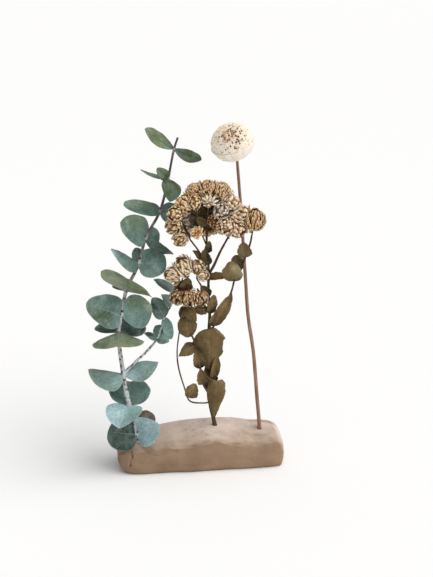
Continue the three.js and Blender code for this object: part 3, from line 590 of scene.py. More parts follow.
# %% Leaf outlines and the blade
# An outline is: how far out its widest place lies, how slim it is, and how blunt its tip is.
ROUND = (0.85, 0.5, 0.16)
OVATE = (0.8, 0.8, 0.06)
LANCE = (0.7, 1.0, 0.05)
HEART = (0.65, 0.6, 0.06)
CORDATE = (0.6, 0.42, 0.08)
SPOON = (1.2, 0.6, 0.12)
FULL = (0.85, 0.36, 0.2)
FAN = (2.6, 0.4, 0.8)
HALF_ACROSS = np.array([0, 0.05, 0.13, 0.27, 0.43, 0.6, 0.76, 0.89, 0.97, 1.0])
LEAF_ACROSS = np.concatenate([-HALF_ACROSS[:0:-1], HALF_ACROSS])  # points from one rim to the other
LEAF_ALONG = 27  # rows of points from the stem to the tip
PETIOLE = 0.8  # half the width of a leaf where it leaves its stem, mm
MIDRIB_DEPTH, MIDRIB_HALF = 0.22, 0.55  # of its groove, mm
VEIN_DEPTH, VEIN_HALF = 0.1, 0.2  # of a side vein's groove: in mm, and as a part of the gap between them
VEIN_SLANT = 0.8  # mm that a side vein runs towards the tip for each mm outwards
# Thickness, wave and gap between side veins are in mm, ragged and curl parts of the half width.
FRESH = {"thickness": 0.5, "wave": 0.8, "ragged": 0.02, "curl": 0.1, "twist": 0.15, "vein_gap": 3.4}
DRIED = {"thickness": 0.4, "wave": 1.6, "ragged": 0.18, "curl": 0.4, "twist": 0.35, "vein_gap": 2.8}


def along_rim(u, steps, seed):
    """Uneven values along the two sides of a leaf, the same on every run."""
    return np.array([[noise.noise(Vector((a * steps, side * 3.1, seed * 7.7))) for side in (-1, 1)]
                     for a in u])


def leaf_blade(row, tones, kind, seed):
    """A leaf as a closed blade, with its distances, its tone with painted light and shade, and its vein
    relief for the finish.
    """
    start, tip, face, width, fold, arch, (lean, fullness, end) = row
    start, tip = np.array(start, float), np.array(tip, float)
    length = np.linalg.norm(tip - start)
    along = (tip - start) / length
    up = unit(np.array(face, float) - along * np.dot(face, along))
    across = np.cross(up, along)
    u = (1 - np.cos(np.pi * np.linspace(0, 1, LEAF_ALONG) ** 1.05)) / 2
    swell = np.sin(np.pi * u ** lean).clip(0) ** fullness
    blunt = end * np.sqrt(1 - 0.999 * u ** 60) * (u > 0.5)
    half = np.maximum(width / 2 * np.maximum(swell, blunt), PETIOLE * (1 - smoothstep(0.02, 0.3, u)))
    half = np.maximum(half, 0.25)
    s = LEAF_ACROSS[None, :]
    lower, upper = along_rim(u, 4.0, seed), along_rim(u, 15.0, seed + 0.5)
    side_noise = np.where(s < 0, lower[:, :1], lower[:, 1:])
    tears = np.where(s < 0, upper[:, :1], upper[:, 1:]) * np.abs(s) ** 3
    out = s * half[:, None] * (1 + 0.05 * side_noise * np.abs(s) + kind["ragged"] * tears)
    run = u[:, None] * length + 0 * s
    roll = kind["curl"] * np.where(s < 0, math.sin(seed * 2.1), math.sin(seed * 3.7 + 1)) * np.abs(s) ** 3
    lift = np.abs(s) ** 1.25 * half[:, None] * fold + arch * np.sin(np.pi * u)[:, None]
    lift = lift + roll * half[:, None] * smoothstep(0.1, 0.5, u)[:, None]
    lift = lift + kind["wave"] * np.abs(s) ** 2 * side_noise * smoothstep(0.05, 0.4, u)[:, None]
    veins = (run - VEIN_SLANT * np.abs(out)) / kind["vein_gap"]
    groove = MIDRIB_DEPTH * np.exp(-(out / MIDRIB_HALF) ** 2)
    groove = groove + VEIN_DEPTH * np.exp(-(((veins + 0.5) % 1 - 0.5) / VEIN_HALF) ** 2)
    lift = lift - groove * smoothstep(1.0, 0.8, np.abs(s))
    angle = kind["twist"] * math.sin(seed * 1.3 + 0.4) * (u - 0.3)[:, None]
    out, lift = out * np.cos(angle) - lift * np.sin(angle), out * np.sin(angle) + lift * np.cos(angle)
    spine = start + along * run[..., None] + across * out[..., None] + up * lift[..., None]
    slope = (np.sign(s) * np.minimum(np.abs(s) * 2, 1) * fold)[..., None]
    upright = unit(up - across * slope + 0 * spine)
    thick = kind["thickness"] * (1 - 0.55 * np.abs(s) ** 3)[..., None] / 2
    points = np.concatenate([(spine + upright * thick).reshape(-1, 3),
                             (spine - upright * thick).reshape(-1, 3)])
    # the tones of the halves, base and tip hold painted sheen and painted shade as well as colour
    minus, plus, base, end_tone = (np.array(linear(TONES_AND_PAINTED_LIGHT[tone])) for tone in tones)
    halves = smoothstep(-0.35, 0.35, s + 0.25 * side_noise)[..., None]
    near = np.exp(-(u / 0.3) ** 2)[:, None, None]
    far = smoothstep(0.7, 1.0, u[:, None] + 0.12 * side_noise)[..., None] * 0.7
    colour = toward(toward(toward(minus, plus, halves), base, near), end_tone, far)
    values = {"run": run, "out": s * half[:, None], "edge": np.abs(s) + 0 * run}
    values = {name: np.tile(value.ravel(), 2) for name, value in values.items()}
    values["tone"] = np.tile(colour.reshape(-1, 4), (2, 1))
    return points, blade_faces(LEAF_ALONG, s.shape[1]), values


def blade_faces(rows, columns):
    """Quads over both faces of a blade's grid, and the rim between them."""
    size, faces = rows * columns, []
    for r in range(rows - 1):
        for c in range(columns - 1):
            near = r * columns + c
            quad = [near, near + columns, near + columns + 1, near + 1]
            faces.append(quad)
            faces.append([size + corner for corner in quad[::-1]])
    rim = [r * columns for r in range(rows - 1)]
    rim += [(rows - 1) * columns + c for c in range(columns - 1)]
    rim += [r * columns + columns - 1 for r in range(rows - 1, 0, -1)]
    rim += list(range(columns - 1, 0, -1))
    for here, after in zip(rim, rim[1:] + rim[:1]):
        faces.append([here, size + here, size + after, after])
    return faces


# %% [markdown]
# Preserved eucalyptus keeps a grey-green with a powdery bluish bloom, and older leaves turn olive.
# Each leaf names the tone of its two halves, of the part near the stem and of its tip, from a short
# set of tones. The tones hold painted light as well as colour: the icy ones are bloom with a painted
# sheen, and the deep ones are dark green with painted shade, on the leaves and halves that lie in
# shadow.

# %% Eucalyptus leaves
# leaf colours with painted light: ice is bloom with a painted sheen, deep is dark green with painted shade
TONES_AND_PAINTED_LIGHT = {
    "ice": "#a6c3c8", "mint": "#8aaaa5", "slate": "#6f8882", "sage": "#6c8068", "teal": "#556e64",
    "deep": "#304136", "moss": "#455634", "olive": "#6c7853", "dusk": "#868c6b", "withered": "#5d4536",
    "umber": "#5f4d33", "bark": "#76613f", "straw": "#b0a680", "rust": "#7b573c", "char": "#3a2d20",
    "earth": "#6a5537",
}
A, B, C, D, E, F, G, H, I, J, K = (STEMS["branch"][0][n] for n in (11, 10, 9, 8, 7, 6, 5, 4, 3, 2, 1))
P, Q, R, S = (-35, 4, 110), (-29, 8, 126), (-23, 12, 135), (-18, 16, 146)
EUCALYPTUS_LEAVES = [  # stem place, tip, way the face looks, width, fold, arch, outline, tones
    ((A, (-42, 6, 281), (0.1, -0.8, 0.6), 13, 0.2, -2.5, SPOON), ("olive", "olive", "moss", "dusk")),
    ((A, (2, 5, 256), (-0.1, -0.7, 0.7), 12, 0.2, -3, SPOON), ("moss", "moss", "deep", "moss")),
    ((B, (-46, 8, 249), (0, -0.3, 1), 9, 0.3, -2.5, OVATE), ("sage", "sage", "teal", "sage")),
    ((B, (-33, 6, 250), (0, -1, 0.2), 9, 0.2, 1, ROUND), ("olive", "sage", "moss", "sage")),
    ((B, (-24, -4, 225), (0.3, -0.8, 0.5), 17, 0.3, 2, SPOON), ("moss", "moss", "moss", "teal")),
    ((C, (-60, 4, 222), (0.1, -0.75, 0.65), 14, 0.3, -1, FULL), ("sage", "teal", "teal", "sage")),
    ((C, (-15, 22, 209), (0.3, -0.95, 0.2), 17, 0.2, 1, ROUND), ("mint", "slate", "slate", "slate")),
    ((D, (-63, -2, 209), (0.3, -0.85, 0.4), 24, 0.25, 2, FULL), ("sage", "teal", "slate", "sage")),
    ((D, (-31, 19, 194), (0.2, -0.95, 0.1), 15, 0.1, 1, ROUND), ("teal", "slate", "teal", "teal")),
    ((D, (-22, -6, 183), (0.1, -0.45, 0.89), 12, 0.3, -4, OVATE), ("deep", "teal", "teal", "slate")),
    ((E, (-71, -4, 188), (0.3, -0.35, 0.9), 23, -0.35, -0.5, HEART), ("slate", "slate", "teal", "ice")),
    ((E, (-27, 2, 174), (-0.2, -0.9, 0.35), 24, 0.15, 2, FULL), ("slate", "teal", "slate", "teal")),
    ((E, (-50, 15, 184), (0, -0.95, 0.3), 10, 0.1, 1, ROUND), ("teal", "teal", "teal", "teal")),
    ((F, (-60, -19, 168), (0.4, 0.7, 0.6), 46, 0.1, -2, FULL), ("dusk", "olive", "dusk", "olive")),
    ((F, (-58, 23, 149), (0, -0.1, 1), 24, 0.1, 1, ROUND), ("deep", "deep", "deep", "deep")),
    ((G, (-92, -12, 146), (0.2, -0.9, 0.35), 27, 0.12, 1, CORDATE), ("teal", "moss", "slate", "sage")),
    ((G, (-40, -9, 141), (-0.1, -0.95, 0.3), 28, 0.15, 2, SPOON), ("slate", "sage", "mint", "dusk")),
    ((H, (-68, -30, 116), (0, -0.3, 0.95), 41, -0.36, 2.5, ROUND), ("olive", "olive", "olive", "dusk")),
    ((H, (-63, 18, 127), (0, -0.5, 0.85), 42, -0.3, 2, FULL), ("deep", "teal", "deep", "deep")),
    ((I, (-92, -14, 91), (0, -0.26, 0.97), 30, -0.6, 0, ROUND), ("sage", "slate", "mint", "sage")),
    ((I, (-35, -2, 91), (-0.1, -0.45, 0.9), 21, -0.4, 1, OVATE), ("slate", "mint", "ice", "mint")),
    ((J, (-69, -34, 48), (-0.1, -0.35, 0.95), 30, 0.3, 2, ROUND), ("ice", "mint", "ice", "ice")),
    ((J, (-58, 14, 69), (0, -0.65, 0.75), 34, 0.2, 1, FULL), ("slate", "teal", "teal", "sage")),
    ((K, (-78, -21, 40), (-0.1, -0.95, 0.3), 30, 0.1, 2, FULL), ("deep", "deep", "deep", "teal")),
    ((K, (-36, -20, 43), (0.15, -0.9, 0.45), 26, 0.3, 2, ROUND), ("ice", "ice", "ice", "ice")),
    ((K, (-42, 4, 45), (0, -0.9, 0.3), 18, 0.2, 1, FULL), ("withered", "withered", "withered", "withered")),
    ((P, (-46, -4, 117), (0, -0.6, 0.8), 9, 0.3, -2, OVATE), ("deep", "teal", "teal", "teal")),
    ((P, (-26, -1, 108), (0, -0.8, 0.6), 10, 0.2, 1, ROUND), ("sage", "mint", "teal", "mint")),
    ((P, (-33, 14, 118), (0, -0.9, 0.4), 9, 0.2, 1, ROUND), ("teal", "teal", "teal", "teal")),
    ((Q, (-39, 4, 144), (0.3, -0.9, 0.2), 15, 0.2, 1, ROUND), ("teal", "deep", "teal", "teal")),
    ((Q, (-24, 2, 109), (0.1, -0.95, 0.2), 9, 0.2, 1, ROUND), ("mint", "mint", "slate", "mint")),
    ((R, (-31, 7, 146), (0, -0.8, 0.6), 10, 0.3, 1, OVATE), ("mint", "sage", "sage", "mint")),
    ((S, (-37, 10, 158), (0, -0.6, 0.8), 11, 0.3, -1, OVATE), ("mint", "teal", "ice", "slate")),
    ((S, (-6, 20, 152), (0, -0.6, 0.8), 11, 0.3, 1, OVATE), ("teal", "slate", "teal", "teal")),
]

fresh_leaves = [leaf_blade(row, tones, FRESH, n) for n, (row, tones) in enumerate(EUCALYPTUS_LEAVES)]
print(len(fresh_leaves), "eucalyptus leaves,", sum(len(part[1]) for part in fresh_leaves), "faces")

# %% [markdown]
# The leaf's skin is a waxy cuticle: half matt, with the powdery bloom lying in cloudy patches over
# the green. On the old leaves low down the bloom makes the veins a little paler than the blade; the
# young ones at the top have a dark midrib. The clouds are about 8 mm wide, as on a real leaf. Real
# side veins are about a tenth of a millimetre wide and are drawn at about half a millimetre, and
# the specks of wax at 1 to 2 mm, which is the least that shows.

# %% Leaf finish
VEIN_SHARE = 0.45  # how much of the vein's colour covers the leaf
SPECK = 0.3  # how much a speck darkens or lightens the leaf


def leaf_finish(name, roughness, bloom_colour, bloom_amount, vein_colour, vein_gap):
    """Tone of the leaf, then cloudy bloom, veins, rim and specks, with a fine crumpled relief."""
    material, tree, shader = new_material(name, roughness, specular=0.4)
    position = add(tree, "NewGeometry").outputs["Position"]
    run, out, edge, tone = (add(tree, "Attribute", {"attribute_name": value}) for value in
                            ("run", "out", "edge", "tone"))
    clouds = add(tree, "TexNoise", {"Scale": 130.0, "Detail": 4.0, "Roughness": 0.6}, {"Vector": position})
    patch = add(tree, "MapRange", {"From Min": 0.45, "From Max": 0.75, "To Max": bloom_amount},
                {"Value": clouds.outputs["Fac"]})
    bloom = add(tree, "Mix", {"data_type": "RGBA", 7: linear(bloom_colour)},
                {0: patch.outputs["Result"], 6: tone.outputs["Color"]})
    blotches = add(tree, "TexNoise", {"Scale": 75.0, "Detail": 3.0}, {"Vector": position})
    mottled = shaded_by(tree, bloom.outputs[2], blotches, 0.3, 0.7, 0.74, 1.2)
    wander = add(tree, "TexNoise", {"Scale": 300.0, "Detail": 1.0}, {"Vector": position})
    sway = add(tree, "Math", {"operation": "MULTIPLY_ADD", 1: 1.6, 2: -0.8}, {0: wander.outputs["Fac"]})
    swayed = add(tree, "Math", {"operation": "ADD"}, {0: out.outputs["Fac"], 1: sway.outputs["Value"]})
    away = add(tree, "Math", {"operation": "ABSOLUTE"}, {0: swayed.outputs["Value"]})
    slant = add(tree, "Math", {"operation": "MULTIPLY_ADD", 1: -VEIN_SLANT},
                {0: away.outputs["Value"], 2: run.outputs["Fac"]})
    bent = add(tree, "Math", {"operation": "MULTIPLY_ADD", 1: 1.8},
               {0: wander.outputs["Fac"], 2: slant.outputs["Value"]})
    gap = add(tree, "Math", {"operation": "PINGPONG", 1: vein_gap / 2}, {0: bent.outputs["Value"]})
    side_vein = add(tree, "MapRange", {"From Min": 0.0, "From Max": 0.4, "To Min": 0.4, "To Max": 0.0},
                    {"Value": gap.outputs["Value"]})
    fading = add(tree, "MapRange", {"From Min": 4.0, "From Max": 24.0, "To Min": 1.0, "To Max": 0.25},
                 {"Value": run.outputs["Fac"]})
    midrib = add(tree, "MapRange", {"From Min": 0.2, "From Max": 0.7, "To Max": 0.0},
                 {"Value": away.outputs["Value"], "To Min": fading.outputs["Result"]})
    veins = add(tree, "Math", {"operation": "MAXIMUM"},
                {0: side_vein.outputs["Result"], 1: midrib.outputs["Result"]})
    rim = add(tree, "MapRange", {"From Min": 0.92}, {"Value": edge.outputs["Fac"]})
    lines = add(tree, "Math", {"operation": "MAXIMUM"},
                {0: veins.outputs["Value"], 1: rim.outputs["Result"]})
    strength = add(tree, "Math", {"operation": "MULTIPLY", 1: VEIN_SHARE}, {0: lines.outputs["Value"]})
    place = add(tree, "SeparateXYZ", links={"Vector": position})
    youth = add(tree, "MapRange", {"From Min": 0.15, "From Max": 0.235}, {"Value": place.outputs["Z"]})
    vein = add(tree, "Mix", {"data_type": "RGBA", 6: linear(vein_colour), 7: linear("#3a4630")},
               {0: youth.outputs["Result"]})
    veined = add(tree, "Mix", {"data_type": "RGBA"},
                 {0: strength.outputs["Value"], 6: mottled, 7: vein.outputs[2]})
    fine = add(tree, "TexNoise", {"Scale": 620.0, "Detail": 3.0, "Roughness": 0.65}, {"Vector": position})
    specked = shaded_by(tree, veined.outputs[2], fine, 0.3, 0.7, 1 - SPECK, 1 + SPECK)
    dulled = add(tree, "MapRange", {"To Min": roughness - 0.08, "To Max": roughness + 0.2},
                 {"Value": clouds.outputs["Fac"]})
    tree.links.new(dulled.outputs["Result"], shader.inputs["Roughness"])
    relief = add(tree, "Math", {"operation": "MULTIPLY_ADD", 1: 0.6},
                 {0: fine.outputs["Fac"], 2: veins.outputs["Value"]})
    dress(tree, shader, specked, relief.outputs["Value"], 0.4, 0.4)
    return material


fresh_leaf = leaf_finish("eucalyptus_leaf_waxy_bloom", 0.55, "#9fb8b8", 0.4, "#9db5b2", FRESH["vein_gap"])

# %% [markdown]
# The stem is round and smooth, thickened at each pair of leaves. Its bark is purple-brown at the
# top and, lower down, hidden under the same white bloom, thickest at the joints. The cut top shows
# bare brown wood. The bloom is reckoned point by point along the stem, and the finish breaks its
# edge up with noise. Bark fibres are drawn at about 1 mm, several times their real width.

# %% Eucalyptus stems
TWIG = [(-64, -8, 84), (-53, -3, 93), (-43, 1, 101), P, Q, R, S, (-16, 17, 151)]
TWIG_ENDS = (1.2, 0.7)  # its radius at the branch and at its tip
JOINT_REACH = 3.0  # mm of stem that a joint thickens to each side
BLOOM_FADES = (110, 245)  # mm up, from thick bloom to none
BARE_CUT = (272, 268)  # mm up, from the bare cut top to bark


def jointed_stem(points, ends, joints, sides):
    """A tube that swells at its joints, with the value bloom: how thick the white wax lies."""
    path = smooth_path(points, 1.3)
    near = np.zeros(len(path))
    for joint in joints:
        reach = np.linalg.norm(path - np.array(joint), axis=1) / JOINT_REACH
        near = np.maximum(near, np.exp(-reach ** 2))
    rough = np.array([noise.noise(Vector(spot) / 6) for spot in path])
    radii = np.linspace(*ends, len(path)) * (0.96 + 0.16 * near + 0.08 * rough)
    low = 1 - smoothstep(*BLOOM_FADES, path[:, 2])
    bloom = np.clip(0.05 + 0.8 * low + 0.45 * near + 0.35 * rough, 0, 1)
    return tube(path, radii, sides, {"bloom": bloom * smoothstep(*BARE_CUT, path[:, 2])})


def waxy_bark_finish():
    """Purple-brown bark under broken white wax."""
    material, tree, shader = new_material("eucalyptus_bark_waxy", 0.6, specular=0.35)
    position = add(tree, "NewGeometry").outputs["Position"]
    fibres = add(tree, "Mapping", {"Scale": (900, 900, 160)}, {"Vector": position})
    fibre = add(tree, "TexNoise", {"Scale": 1.0, "Detail": 3.0}, {"Vector": fibres.outputs["Vector"]})
    bark = add(tree, "ValToRGB", {"stops": [(0, "#33241f"), (1, "#67534d")]}, {"Fac": fibre.outputs["Fac"]})
    bloom = add(tree, "Attribute", {"attribute_name": "bloom"})
    cloud = add(tree, "TexNoise", {"Scale": 420.0, "Detail": 3.0}, {"Vector": position})
    broken = add(tree, "MapRange", {"From Min": 0.38, "From Max": 0.5}, {"Value": cloud.outputs["Fac"]})
    cover = add(tree, "Math", {"operation": "MULTIPLY"},
                {0: bloom.outputs["Fac"], 1: broken.outputs["Result"]})
    waxed = add(tree, "Mix", {"data_type": "RGBA", 7: linear("#cbd3d6")},
                {0: cover.outputs["Value"], 6: bark.outputs["Color"]})
    dress(tree, shader, waxed.outputs[2], fibre.outputs["Fac"], 0.5, 0.3)
    return material


branch_points, branch_ends = STEMS["branch"]
fresh_stems = joined([jointed_stem(branch_points, branch_ends, branch_points[1:-1], 14),
                      jointed_stem(TWIG, TWIG_ENDS, TWIG[:-1], 10)])
make_piece("eucalyptus_leaves", joined(fresh_leaves), fresh_leaf, "eucalyptus_branch")
make_piece("eucalyptus_stems", fresh_stems, waxy_bark_finish(), "eucalyptus_branch")
print("eucalyptus stems:", len(fresh_stems[1]), "faces")

# %% [markdown]
# ## The dried everlasting: stalk and leaves
# This plant was hung up to dry, so its stalk is ribbed and crooked and its leaves have curled and
# wrinkled. The leaf tool above serves again with a stronger wave and drier tones. The stalk's ribs
# come from making every other point of a ring stand out.

# %% Dried stalk and its leaves
SPOTS = {
    "foot": (13, 3, 6.5), "clay": (12, 2, 31), "low": (8, 2, 52), "fork": (7, 2, 60), "mid": (8, 2, 78),
    "high": (7, 2, 104), "upper": (8, 2, 130), "spray": (7, 2, 146), "crotch": (7, 2, 163),
    "left": (-1, 0, 183), "leftTop": (-8, 0, 193), "middle": (6, 4, 186), "heart": (6, 5, 202),
    "crown": (7, 5, 215), "right": (16, 1, 181), "rightTop": (23, 1, 194), "sideFork": (-11, -4, 122),
    "leftKnee": (-13, -3, 138), "sprayTop": (-15, -1, 158), "lowSpray": (0, -3, 149),
    "midSpray": (-3, -2, 161), "ballKnee": (25, 0, 147), "ballStem": (41, -6, 196.5),
}
STALK_STEMS = [  # places along the stem, radius at its start and end
    (("foot", "clay", "low", "fork", "mid", "high", "upper", "spray", "crotch"), (1.9, 1.2)),
    (("crotch", (3, 1, 174), "left", "leftTop"), (1.1, 0.7)),
    (("crotch", (7, 3, 173), "middle", "heart", "crown"), (1.2, 0.7)),
    (("crotch", (11, 1, 170), "right", "rightTop"), (1.3, 0.8)),
    (("fork", (2, 0, 70), (-1, -1, 88), (-5, -3, 107), "sideFork", "leftKnee", "sprayTop"), (1.1, 0.7)),
    (("high", (13, 2, 124), "ballKnee", (28, -3, 160), (33, -3, 169), (37, -4, 180), (40, -5, 190),
      "ballStem"), (0.9, 0.8)),
    (("low", (1, -4, 54), (-10, -8, 58), (-14, -8, 69), (-19, -8, 88), (-20, -8, 101),
      (-18, -8, 119)), (0.7, 0.6)),
    (("spray", (3, 0, 148), "lowSpray"), (0.7, 0.7)),
    (("upper", (3, -1, 150), "midSpray"), (0.7, 0.7)),
    (("rightTop", (25, -2, 197), (21, -4, 198), (23, -5, 194)), (0.6, 0.6)),
]
BROWN = ("umber", "bark", "char", "umber")
DARK = ("char", "umber", "char", "umber")
PALE = ("straw", "bark", "umber", "bark")
EARTH = ("earth", "bark", "umber", "earth")
DRY_LEAVES = [  # the same kind of row as the eucalyptus leaves have
    (((11, 2, 35), (13, -6, 74), (-0.2, -0.95, -0.1), 16, -0.3, 2, FAN), ("earth", "bark", "umber", "bark")),
    (((6, 1, 70), (-1, -9, 86), (-0.2, -0.9, 0), 11, 0.6, 1, ROUND), BROWN),
    (((-11, -8, 61), (-5, -11, 74), (0, -1, 0.1), 11, 0.2, 1, ROUND), EARTH),
    (((-12, -3.5, 130), (-11, -10, 114), (0, -1, 0.2), 16, 0.2, 1, ROUND), EARTH),
    (((-13, -3, 139), (-4, -8, 127), (0, -0.9, 0.3), 10, 0.4, 1, OVATE), BROWN),
    (((-13, -3, 139), (-17, -6, 129), (0.2, -0.9, 0.3), 8, 0.4, 1, OVATE), DARK),
    (((-4, -2, 105), (-19, -7, 97), (-0.3, -0.9, 0.3), 11, 0.3, 1, LANCE), BROWN),
    (((7, 1, 82), (6, -9, 120), (0.1, -0.95, 0), 25, -0.2, 1, SPOON), ("bark", "earth", "umber", "bark")),
    (((0, -1, 84), (-5, -7, 102), (0, -1, 0.1), 10, 0.3, 1, ROUND), BROWN),
    (((9, 2, 118), (20, -3, 109), (0.4, -0.7, 0.6), 8, -0.5, 1, ROUND), ("rust", "rust", "umber", "rust")),
    (((9, 2, 70), (14, 0, 97), (0.3, -0.9, 0), 8, 0.5, 1, OVATE), EARTH),
    (((8, 3, 64), (9, 5, 88), (0, -1, 0), 12, 0.2, 1, FULL), DARK),
    (((11, 2, 119), (26, -1, 147), (0.3, -0.9, 0.2), 12, 0.3, 1, OVATE), EARTH),
    (((8, 2, 119), (12, -4, 134), (0.2, -0.9, 0.2), 8, 0.3, 1, OVATE), BROWN),
    (((27, -2, 158), (24, -8, 176), (-0.2, -0.95, 0.1), 16, 0.3, 1, ROUND), PALE),
    (((31, -3, 166), (29, 1, 179), (-0.2, -0.9, 0.2), 11, 0.2, 1, ROUND), BROWN),
    (((36, -4, 178), (34, -10, 192), (-0.1, -0.95, 0.2), 12, 0.2, 1, ROUND), EARTH),
    (((6, 2, 171), (3, -6, 186), (-0.1, -0.95, 0.2), 9, 0.3, 1, ROUND), DARK),
    (((2, 1, 176), (-6, 0, 184), (0, -0.9, 0.4), 6, 0.3, 1, OVATE), DARK),
    (((6, 3, 181), (7, -3, 192), (0, -0.95, 0.2), 6, 0.3, 1, ROUND), DARK),
    (((7, 2, 161), (20, -4, 162), (0, -0.7, 0.7), 8, 0.2, 0, FULL), BROWN),
    (((-14, -2, 150), (-20, -3, 161), (-0.2, -0.9, 0.1), 8, 0.3, 1, ROUND), DARK),
    (((-14, -2, 150), (-10, -7, 163), (0.2, -0.9, 0.1), 10, 0.2, 1, ROUND), BROWN),
    (((7, 2, 144), (0, -3, 155), (0, -0.9, 0.3), 9, 0.3, 1, ROUND), DARK),
    (((8, 2, 130), (11, -3, 147), (0.3, -0.9, 0), 9, 0.3, 1, ROUND), BROWN),
    (((7, 2, 133), (-9, -5, 136), (0, -0.9, 0.4), 9, 0.2, 1, OVATE), DARK),
    (((6, 5, 200), (5, 6, 217), (0, -1, 0), 14, 0.1, 1, ROUND), DARK),
    (((6, 5, 202), (13, 1, 212), (0, -1, 0.1), 8, 0.2, 1, ROUND), BROWN),
    (((6, 5, 201), (-3, 1, 211), (0, -1, 0.1), 8, 0.2, 1, ROUND), BROWN),
]


def ribbed_stem(spots, ends, sides=10):
    """A tube with lengthwise ribs and a slightly uneven girth."""
    path = smooth_path([SPOTS[spot] if isinstance(spot, str) else spot for spot in spots], 1.6)
    uneven = np.array([noise.noise(Vector(spot) / 5) for spot in path])
    ribs = 1 + 0.07 * np.cos(np.arange(sides) * np.pi)
    radii = (np.linspace(*ends, len(path)) * (0.95 + 0.16 * uneven))[:, None] * ribs
    return tube(path, radii, sides)


DRY_SEED = 50  # its leaves wave in other ways than the branch's
dry_stems = [ribbed_stem(spots, ends) for spots, ends in STALK_STEMS]
dry_leaves = [leaf_blade(row, tones, DRIED, DRY_SEED + n) for n, (row, tones) in enumerate(DRY_LEAVES)]
print(len(dry_stems), "dry stems,", len(dry_leaves), "dry leaves")

# %% [markdown]
# Dried leaf is brittle and matt, olive-brown, with paler veins on its underside and a darker, rough
# face. The stalk has weathered to dark brown with lighter ribs. Plant fibre runs along a stem in
# threads of about a tenth of a millimetre. They are drawn at about 1.4 mm across and ten times as
# long, so that they show.

# %% Dried leaf and stalk finishes
dry_leaf = leaf_finish("leaf_air_dried_matt", 0.8, "#9a8a5e", 0.45, "#9a8658", DRIED["vein_gap"])


def fibrous_finish(name, dark, light, roughness):
    """Plant fibre that runs along the stem, light ridges over dark grooves."""
    material, tree, shader = new_material(name, roughness, specular=0.3)
    position = add(tree, "NewGeometry").outputs["Position"]
    lengthwise = add(tree, "Mapping", {"Scale": (700, 700, 60)}, {"Vector": position})
    fibre = add(tree, "TexNoise", {"Scale": 1.0, "Detail": 4.0, "Roughness": 0.6},
                {"Vector": lengthwise.outputs["Vector"]})
    colour = add(tree, "ValToRGB", {"stops": [(0.32, dark), (0.7, light)]}, {"Fac": fibre.outputs["Fac"]})
    dress(tree, shader, colour.outputs["Color"], fibre.outputs["Fac"], 0.6, 0.3)
    return material


dry_bark = fibrous_finish("stalk_air_dried_ribbed", "#33271c", "#6b563f", 0.8)

# %% [markdown]
# ## The flower heads
# Each head of an everlasting is a small dome of papery bracts, dark where they are held and pale at
# their tips. From above one sees only tips, like grains; from the side the long bracts show as
# streaks that sweep up from the thin stem. So a head is built the way it grows: every bract starts
# low in the head, bends outwards and ends on the dome. Heads that crowd together press flat against
# each other, and a bract stops at the plane that parts its head from the next.

# %% Where the heads sit
HEADS = [  # look, centre, radius, the way it faces, where its stem starts
    ("dome", (-3, 5, 229.5), 8.6, (-0.5, 0.1, 1), "crown"),
    ("dome", (7, 4, 231.5), 8.8, (0, 0, 1), "crown"),
    ("dome", (17, 5, 229.5), 9.2, (0.5, 0.1, 1), "crown"),
    ("dome", (2, 15, 225.5), 9, (-0.2, 0.7, 0.8), "crown"),
    ("dome", (14, 16, 224.5), 9, (0.3, 0.7, 0.7), "crown"),
    ("rim", (-12, -2, 222), 8, (-0.8, -0.2, 0.7), "heart"),
    ("rim", (-5, -6, 224), 6.3, (-0.3, -0.7, 0.8), "crown"),
    ("ragged", (-20.5, -7, 215.5), 7, (-0.5, -0.8, 0.4), "leftTop"),
    ("ragged", (-21.5, -3, 205), 7.3, (-0.9, -0.3, -0.1), "leftTop"),
    ("ragged", (-16, -2, 194.5), 7.2, (-0.8, -0.3, -0.5), "leftTop"),
    ("grey", (-10, 13, 213), 8.5, (-0.7, 0.6, 0.2), "heart"),
    ("grey", (-7, 13, 201), 8.5, (-0.5, 0.7, -0.3), "middle"),
    ("rim", (6, 21, 211), 9.2, (0, 1, 0.2), "heart"),
    ("rim", (8, 18, 198.5), 8.2, (0.1, 0.8, -0.4), "middle"),
    ("rim", (21, 14, 213), 9, (0.7, 0.6, 0.2), "heart"),
    ("rim", (20, 12, 201), 8, (0.6, 0.7, -0.4), "rightTop"),
    ("amber", (11, -4, 208.5), 5.8, (0.3, -0.9, 0.2), "heart"),
    ("pale", (16.5, -7, 217), 6.6, (0.2, -0.9, 0.3), "rightTop"),
    ("petal", (24.5, -3, 221.5), 8.3, (0.5, -0.2, 0.85), "rightTop"),
    ("petal", (30, -4, 212), 8.6, (0.95, -0.25, 0.25), "rightTop"),
    ("petal", (20, -10, 205.5), 7.6, (-0.1, -0.9, -0.2), "rightTop"),
    ("petal", (28.5, -8, 202.5), 7.6, (0.6, -0.7, -0.3), "rightTop"),
    ("ball", (42.5, -6, 208.5), 10.3, (0.1, -0.1, 1), "ballStem"),
    ("brush", (-14, -5, 171.5), 8.8, (-0.5, -0.3, 0.8), "sprayTop"),
    ("brush", (-22.5, -6, 166), 7.4, (-0.9, -0.3, 0.25), "sprayTop"),
    ("brush", (-2.5, -6, 172.5), 6, (0, -0.7, 0.7), "midSpray"),
    ("brush", (1.5, -7.5, 165), 5.4, (0.6, -0.8, -0.2), "midSpray"),
    ("hanging", (-19.5, -8, 147.5), 7, (-0.5, -0.5, -0.7), "sprayTop"),
    ("hanging", (-10.5, -12, 148.5), 7.8, (0, -0.5, -0.85), "sprayTop"),
    ("hanging", (-0.5, -10, 147), 7, (0.3, -0.5, -0.8), "lowSpray"),
]
CORE = 0.68  # radius of a head's solid middle, as a part of its own
HEAD_AIR = 0.3  # mm between heads that touch
VALLEY = 0.42  # how much longer bracts grow where a neighbour presses on the head, as a part
LOWEST = -0.55  # bracts stop this far down the dome, as a part of its radius

